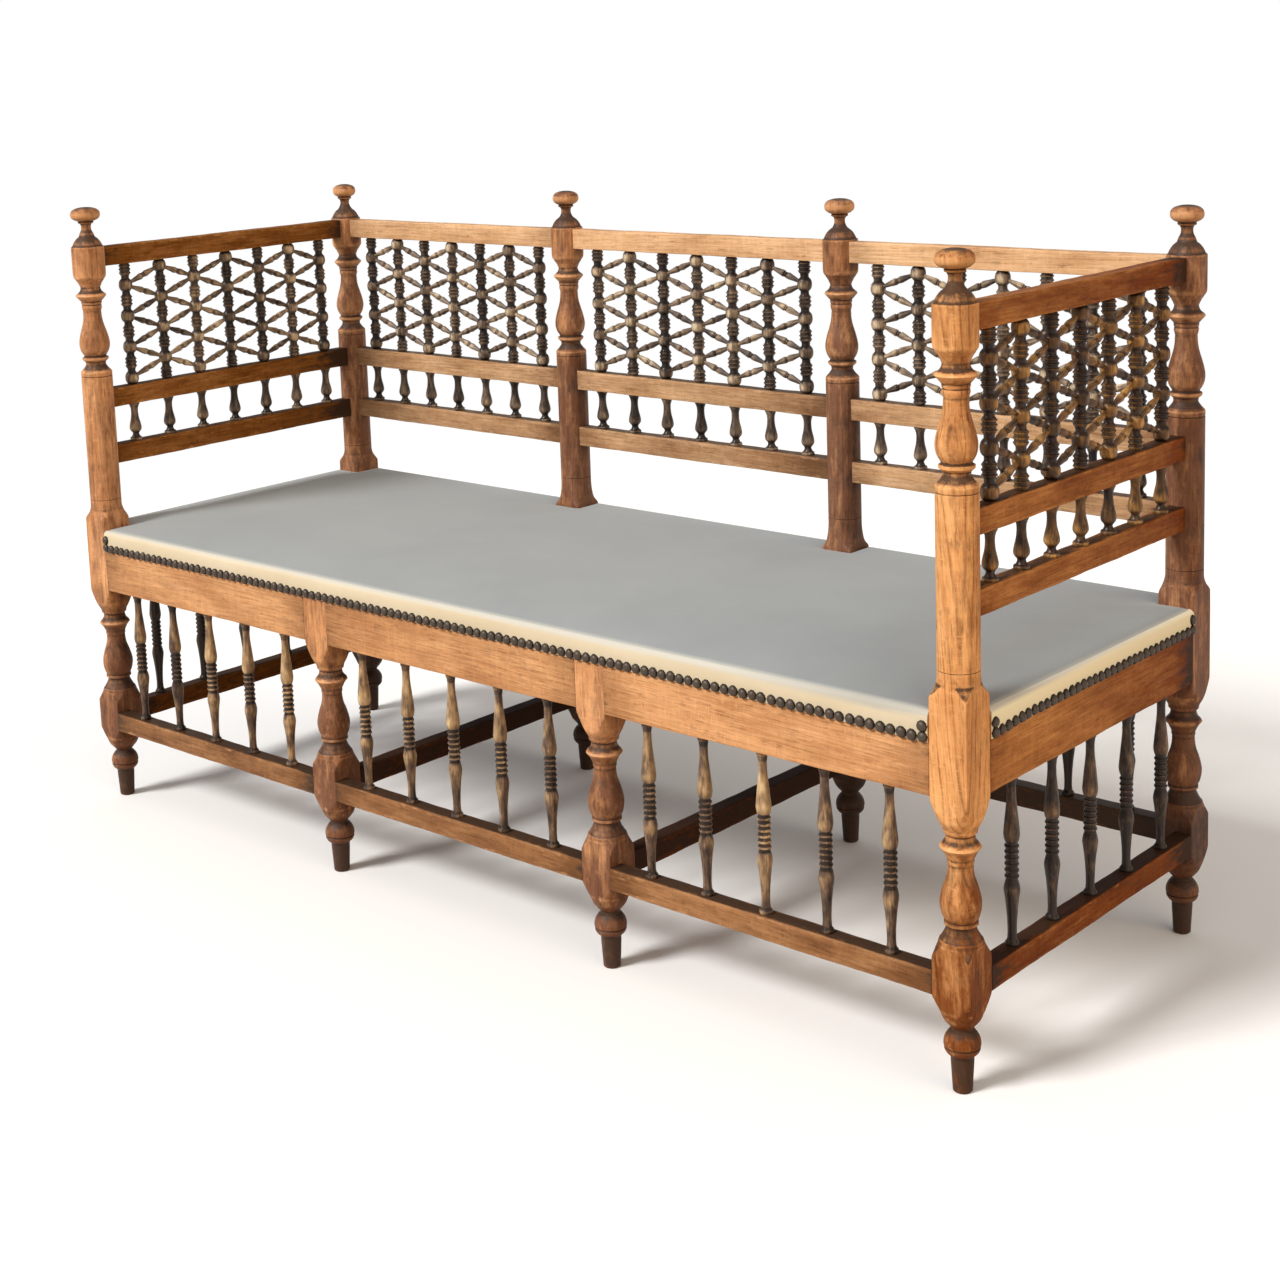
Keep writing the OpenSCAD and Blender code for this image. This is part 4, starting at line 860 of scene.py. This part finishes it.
def pad_height(x, y):
    """Height of the pad's top: an edge, a slow crown that rises away from the sides and the posts,
    and low swells a hand's breadth apart."""
    side = np.clip(np.minimum(HALF_L + HALF_STOCK - np.abs(x), HALF_D + HALF_STOCK - np.abs(y)), 0, None)
    c = np.clip(np.minimum(side, to_posts(x, y)) / PAD_SLOPE, 0, 1)
    swell = 0.5 * np.sin(x / 71 + 1.3 * np.sin(y / 95)) * np.sin(y / 63 + 0.6)
    return SEAT_TOP + PAD_EDGE_H + PAD_CROWN * (1 - (1 - c) ** 2) + swell * c


def pad_lines(half, notches, step=9.0):
    """Grid lines across the pad: the two rounded edges, the notches' sides, and even steps between."""
    rounded = half - np.array([0, 0.4, 1.4, 2.8, 4.6, 7.0, 10.0])
    stops = np.unique(np.concatenate((rounded, -rounded, notches)))
    parts = np.maximum(1, np.round(np.diff(stops) / step)).astype(int)
    gaps = [np.linspace(a, b, n, endpoint=False) for a, b, n in zip(stops, stops[1:], parts)]
    return np.concatenate(gaps + [stops[-1:]])


def add_pad():
    """The pad as a closed form over a grid with the posts' notches left out: top, flat underside,
    and a wall round every edge. Its edges fall off as quarter ellipses."""
    half_x, half_y = HALF_L + HALF_STOCK - 0.3, HALF_D + HALF_STOCK - 0.3
    roll = np.array([0, 0.5, 1.6, 3.4, 7.0])
    corner_x, corner_y = HALF_L - NOTCH_HALF - roll, HALF_D - NOTCH_HALF - roll
    beside = np.concatenate((BAY_W / 2 - NOTCH_HALF - roll, BAY_W / 2 + NOTCH_HALF + roll))
    xs = pad_lines(half_x, np.concatenate((corner_x, -corner_x, beside, -beside)))
    ys = pad_lines(half_y, np.concatenate((corner_y, -corner_y)))
    x, y = np.meshgrid(xs, ys, indexing="ij")
    edge = np.clip(np.minimum(half_x - np.abs(x), half_y - np.abs(y)) / EDGE_IN, 0, 1)
    at_post = np.clip(to_posts(x, y) / POST_IN, 0, 1)
    top = pad_height(x, y) + CLOTH_T
    for down, c in ((EDGE_DOWN, edge), (POST_DOWN, at_post)):
        top = top - down * (1 - np.sqrt(1 - (1 - c) ** 2))
    top = np.maximum(top, SEAT_TOP + 0.6)
    mx, my = np.meshgrid((xs[1:] + xs[:-1]) / 2, (ys[1:] + ys[:-1]) / 2, indexing="ij")
    cell = (np.abs(mx) <= HALF_L - NOTCH_HALF) | (np.abs(my) <= HALF_D - NOTCH_HALF)
    cell &= (np.abs(np.abs(mx) - BAY_W / 2) >= NOTCH_HALF) | (my <= HALF_D - NOTCH_HALF)
    index = np.arange(x.size).reshape(x.shape)
    a, b, c, d = index[:-1, :-1], index[1:, :-1], index[1:, 1:], index[:-1, 1:]
    faces = [joined(a, b, c, d)[cell], joined(a, d, c, b)[cell] + x.size]
    filled = np.pad(cell, 1)
    for first, second, beyond in ((a, b, filled[1:-1, :-2]), (c, d, filled[1:-1, 2:]),
                                  (d, a, filled[:-2, 1:-1]), (b, c, filled[2:, 1:-1])):
        p, q = first[cell & ~beyond], second[cell & ~beyond]
        faces.append(joined(p + x.size, q + x.size, q, p))
    quads = np.concatenate(faces)
    points = np.concatenate([joined(x, y, z).reshape(-1, 3) for z in (top, SEAT_TOP + 0.1)])
    used, renumbered = np.unique(quads, return_inverse=True)
    # The rim, where the top cloth takes its pale edge colour: along the front and the sides a painted
    # highlight, round the posts the cloth's own pale turn-down
    rim = np.clip(1 - np.minimum(np.minimum(half_x - np.abs(x), half_y + y), at_post * 14) / 9.0, 0, 1)
    rim = np.concatenate((rim.ravel(), rim.ravel()))[used]
    points = points[used]
    # Painted shade: the end by the right arm is darker, where the arm shades the seat
    painted_shade_and_grey = 0.5 * np.clip((points[:, 0] - (HALF_L - 290)) / 230, 0, 1) * (1 - rim)
    pad = add_piece("seat_pad", ["seat_padding", "seat_cover"], grey_cotton, points,
                    renumbered.reshape(quads.shape), np.zeros((0, 3), int),
                    {"cloth": points * MM, "rim": rim, "painted_light": 0 * rim, "painted_shade_and_grey": painted_shade_and_grey}, 50)


# The strips were nailed by hand: places along a side, the height where the strip turns to the grey of the
# top cloth, and how far the nailed line strays from its level there, in millimetres
PLAIN_LINE = ((0,), (6.6,), (0,))
FRONT_LINE = ((-812, -380, -30, 220, 390, 545, 665, 720, 770, 812), (5, 4.5, 3.3, 1.8, 1.8, 1, 0, -1, 1, 2),
              (2.6, 2.6, 2.4, 2.4, 2.2, 2, 1, 0, -1, -1.5))
RIGHT_LINE = ((-273, -236, -190, -100, 100, 273), (2, 2.5, 3, 4, 5.6, 7), (-1, -0.8, 2.5, 3.6, 4.2, 4.4))


def nail_row(span):
    """Length of the nail row on a side of that span, and how many gaps it holds."""
    run = span - NOTCH - 2 * NAIL_R
    return run, int(run // NAIL_GAP)


def border_field(span, place, z_seed, line):
    """Cream border along a side: the section of a strip drawn in at the nails, swelling above them
    and lying over the pad's rounded edge, its outer skin waved from nail to nail. Its lower part follows
    the stray of the nailed line, and above the line's height it takes on the top cloth's grey, paled
    there to a painted highlight."""
    run, count = nail_row(span)
    x = np.linspace(-(span - NOTCH) / 2, (span - NOTCH) / 2, int((span - NOTCH) / 3.6))[:, None]
    beat = 0.5 + 0.5 * np.cos(2 * math.pi * (x + run / 2) / (run / count))
    turn = np.radians([0, 16, 32, 50, 64])
    over = joined(-0.3 - EDGE_IN * (1 - np.cos(turn)), PAD_EDGE_H + CLOTH_T + EDGE_DOWN * (np.sin(turn) - 1))
    over = over + joined(np.cos(turn), np.sin(turn)) * np.array([1.9, 1.7, 1.3, 0.8, 0.25])[:, None]
    outer = np.vstack(([[1.3, -26], [1.5, -24.5], [1.2, -20], [1.7, -15], [2.1, -9], [2.1, -3]], over))
    inner = np.array([[-5.8, 8.4], [-4.4, 7.2], [-2.0, 5.6], [-0.6, 3.0], [0.2, 0.0], [0.2, -12], [0.2, -26]])
    section = np.vstack((outer, inner))
    out, z = section.T
    column = np.arange(len(section))
    y = -HALF_STOCK - (out + 0.5 * bell(z + 17, 7) * (column < len(outer) - 2) * (1 - beat)
                       + 0.25 * np.sin(x / 41 + z_seed) * (z > -12) * (column < len(outer) - 3))
    grey_from, stray = (np.interp(x, line[0], values) for values in line[1:])
    local = joined(x, y, SEAT_TOP + z + stray * np.clip(-z / 20, 0, 1))
    cloth = joined(x, np.cumsum(np.abs(np.gradient(z))), 0.0) * MM
    # Above the line's height the strip takes the top cloth's grey, paled to a painted highlight
    rim = np.clip((z - grey_from) / 4, 0, 1)
    # Painted light: the strip on the right side, turned away from the key light, is painted lighter, most of
    # all at its front end
    painted_light = np.clip(0.95 - 0.5 * x / BAY_D, 0, 1) * (line is RIGHT_LINE)
    # Near the right end of the front its upper edge is as grey as the top
    painted_shade_and_grey = rim * np.interp(x, (480, 700, 760, 812), (0, 0.45, 0.4, 0.2)) * (line is FRONT_LINE)
    return field_of(local, place, cloth, rim, painted_light, painted_shade_and_grey)[None]


def nail_field(span, place, seed, line=PLAIN_LINE):
    """Dome heads in a row along X with one more above each end, each a little askew: the dome's
    profile times a head's own size, leaning and shifted by chance."""
    r = np.random.default_rng(seed)
    run, count = nail_row(span)
    x = np.concatenate(((np.arange(count + 1) / count - 0.5) * run, [-run / 2, run / 2]))
    z = NAIL_Z + np.interp(x, line[0], line[2])
    z[-2:] += 2 * NAIL_R + 0.2
    dome = np.array([[0.55, -0.3], [1.0, -0.2], [1.03, 0.9], [0.94, 2.7], [0.68, 4.5], [0.32, 5.5]])
    angle = ring_angles(10)
    size = NAIL_R * r.uniform(1.03, 1.12, len(x))[:, None, None]
    lean = r.normal(0, 0.05, (2, len(x)))[:, :, None, None]
    a, b = dome[:, :1] * size * np.cos(angle), dome[:, :1] * size * np.sin(angle)
    out = dome[:, 1:] + lean[0] * a + lean[1] * b
    shift = r.normal(0, 0.32, (2, len(x)))[:, :, None, None]
    local = joined(a + x[:, None, None] + shift[0], -HALF_STOCK - 1.4 - out, b + z[:, None, None] + shift[1])
    return field_of(local, place, 0.0, np.clip(dome[:, 1:] / 6.0, 0, 1), 0.0)


def add_borders():
    """The six strips as one piece: closed tubes that carry the border's section along each side."""
    sides = [(3 * BAY_W, FRONT, FRONT_LINE), (BAY_D, PLACES["left"], PLAIN_LINE),
             (BAY_D, PLACES["right"], RIGHT_LINE)]
    sides += [(BAY_W, PLACES[f"back_{part}"], PLAIN_LINE) for part in PARTS]
    p, quads, tris = tubes([border_field(span, place, number, line)
                            for number, (span, place, line) in enumerate(sides)])
    # The section runs the other way round than a ring's columns, so the faces are turned over
    strips = add_piece("seat_border_cloth", ["seat_border"], cream_cotton, p[:, :3],
                       quads[:, ::-1], tris[:, ::-1],
                       {"cloth": p[:, 3:6], "rim": p[:, 6], "painted_light": p[:, 7], "painted_shade_and_grey": p[:, 8]}, 60)


add_pad()
add_borders()
for side, fields in (
        ("front", [nail_field(3 * BAY_W, FRONT, 61, FRONT_LINE)]),
        ("back", [nail_field(BAY_W, PLACES[f"back_{part}"], 62 + i) for i, part in enumerate(PARTS)]),
        ("left", [nail_field(BAY_D, PLACES["left"], 66)]),
        ("right", [nail_field(BAY_D, PLACES["right"], 67, RIGHT_LINE)])):
    add_tubes(f"seat_nails_{side}_domes", [f"seat_nails_{side}"], nail_bronze, fields, 60)


# Floor, light and camera

# Half the floor's width in metres, the colour of its bounced light, and the white world's strength for
# all but the camera, which sees it at one
FLOOR_HALF, BOUNCE, ROOM_LIGHT = 40.0, (0.34, 0.25, 0.17, 1), 0.45

# The photograph's camera, worked out from the posts: place in metres, heading, tilt and roll in degrees,
# and the focal length and the picture's centre in pixels of the photograph, which is as wide as PHOTO_PX
CAMERA_AT = (2.0360, -2.1951, 1.2063)
HEADING, TILT, ROLL = 42.00, 8.83, -2.03
PHOTO_PX, FOCAL_PX, CENTRE_PX, SENSOR_MM = 1280.0, 2084.2, (610.4, 368.3), 36.0


def add_stage():
    """A pale floor that keeps the bench's shadow, and a white world seen only past it."""
    mesh = bpy.data.meshes.new("floor")
    corners = [(FLOOR_HALF * x, FLOOR_HALF * y, 0) for x, y in ((-1, -1), (1, -1), (1, 1), (-1, 1))]
    mesh.from_pydata(corners, [], [(0, 1, 2, 3)])
    material, tree = with_tree(bpy.data.materials.new("pale_floor"))
    near = add(tree, "BsdfDiffuse", {"Color": linear(0.98)})
    dim = add(tree, "BsdfDiffuse", {"Color": BOUNCE})
    pale = add(tree, "Emission", {"Color": linear(1.0), "Strength": 1.0})
    # From 1.5 m to 4 m away from the bench the floor fades into plain white
    here = add(tree, "TexCoord", {}, "Object")
    away = add(tree, "VectorMath", {0: here}, "Value", operation="LENGTH")
    fifth = add(tree, "Math", {0: away, 1: 0.2}, operation="MULTIPLY")
    far = add(tree, "ValToRGB", {"Fac": fifth}, stops=((0.3, 0.0), (0.8, 1.0)))
    shown = add(tree, "MixShader", {0: far, 1: near, 2: pale})
    # Only the camera, a gloss or glass sees it so; as a bounce its light is dim and brown
    seen = [add(tree, "LightPath", {}, f"Is {ray} Ray") for ray in ("Camera", "Glossy", "Transmission")]
    either = add(tree, "Math", {0: seen[0], 1: seen[1]}, operation="MAXIMUM")
    either = add(tree, "Math", {0: either, 1: seen[2]}, operation="MAXIMUM")
    add(tree, "OutputMaterial", {"Surface": add(tree, "MixShader", {0: either, 1: dim, 2: shown})})
    mesh.materials.append(material)
    new_object("floor", mesh)

    bpy.context.scene.world, tree = with_tree(bpy.data.worlds.new("white_room"))
    seen = add(tree, "LightPath", {}, "Is Camera Ray")
    strength = total(tree, ROOM_LIGHT, (seen, 1.0 - ROOM_LIGHT))
    light = add(tree, "Background", {"Color": linear(1.0), "Strength": strength})
    add(tree, "OutputWorld", {"Surface": light})


def add_light(name, strength, azimuth, elevation, softness, colour):
    """A sun seen from the azimuth, 0 in front and 90 to the right, at that elevation, in degrees."""
    lamp = bpy.data.lights.new(name, "SUN")
    lamp.energy = strength
    lamp.color = colour
    lamp.angle = math.radians(softness)
    a, e = math.radians(azimuth), math.radians(elevation)
    towards = Vector((math.sin(a) * math.cos(e), -math.cos(a) * math.cos(e), math.sin(e)))
    new_object(name, lamp).matrix_world = towards.to_track_quat("Z", "Y").to_matrix().to_4x4()


def add_camera():
    """The photograph's camera, its lens shifted so that the picture's centre lies where it was."""
    azimuth, tilt, roll = math.radians(HEADING), math.radians(TILT), math.radians(ROLL)
    ahead = Vector((-math.sin(azimuth) * math.cos(tilt), math.cos(azimuth) * math.cos(tilt), -math.sin(tilt)))
    right = Vector((math.cos(azimuth), math.sin(azimuth), 0))
    up = right.cross(ahead)
    right, up = (right * math.cos(roll) + up * math.sin(roll), up * math.cos(roll) - right * math.sin(roll))
    lens = bpy.data.cameras.new("photo_camera")
    lens.sensor_fit = "HORIZONTAL"
    lens.sensor_width = SENSOR_MM
    lens.lens = SENSOR_MM * FOCAL_PX / PHOTO_PX
    lens.shift_x = (PHOTO_PX / 2 - CENTRE_PX[0]) / PHOTO_PX
    lens.shift_y = (CENTRE_PX[1] - PHOTO_PX / 2) / PHOTO_PX
    lens.clip_end = 200.0
    camera = new_object("photo_camera", lens)
    camera.matrix_world = Matrix.Translation(CAMERA_AT) @ Matrix((right, up, -ahead)).transposed().to_4x4()
    bpy.context.scene.camera = camera


add_stage()
add_light("key", 3.1, -20, 40, 18, (1, 0.98, 0.95))
add_light("warm_fill", 1.15, 80, 22, 60, (1, 0.72, 0.42))
add_camera()
bpy.context.scene.view_settings.view_transform = "Standard"
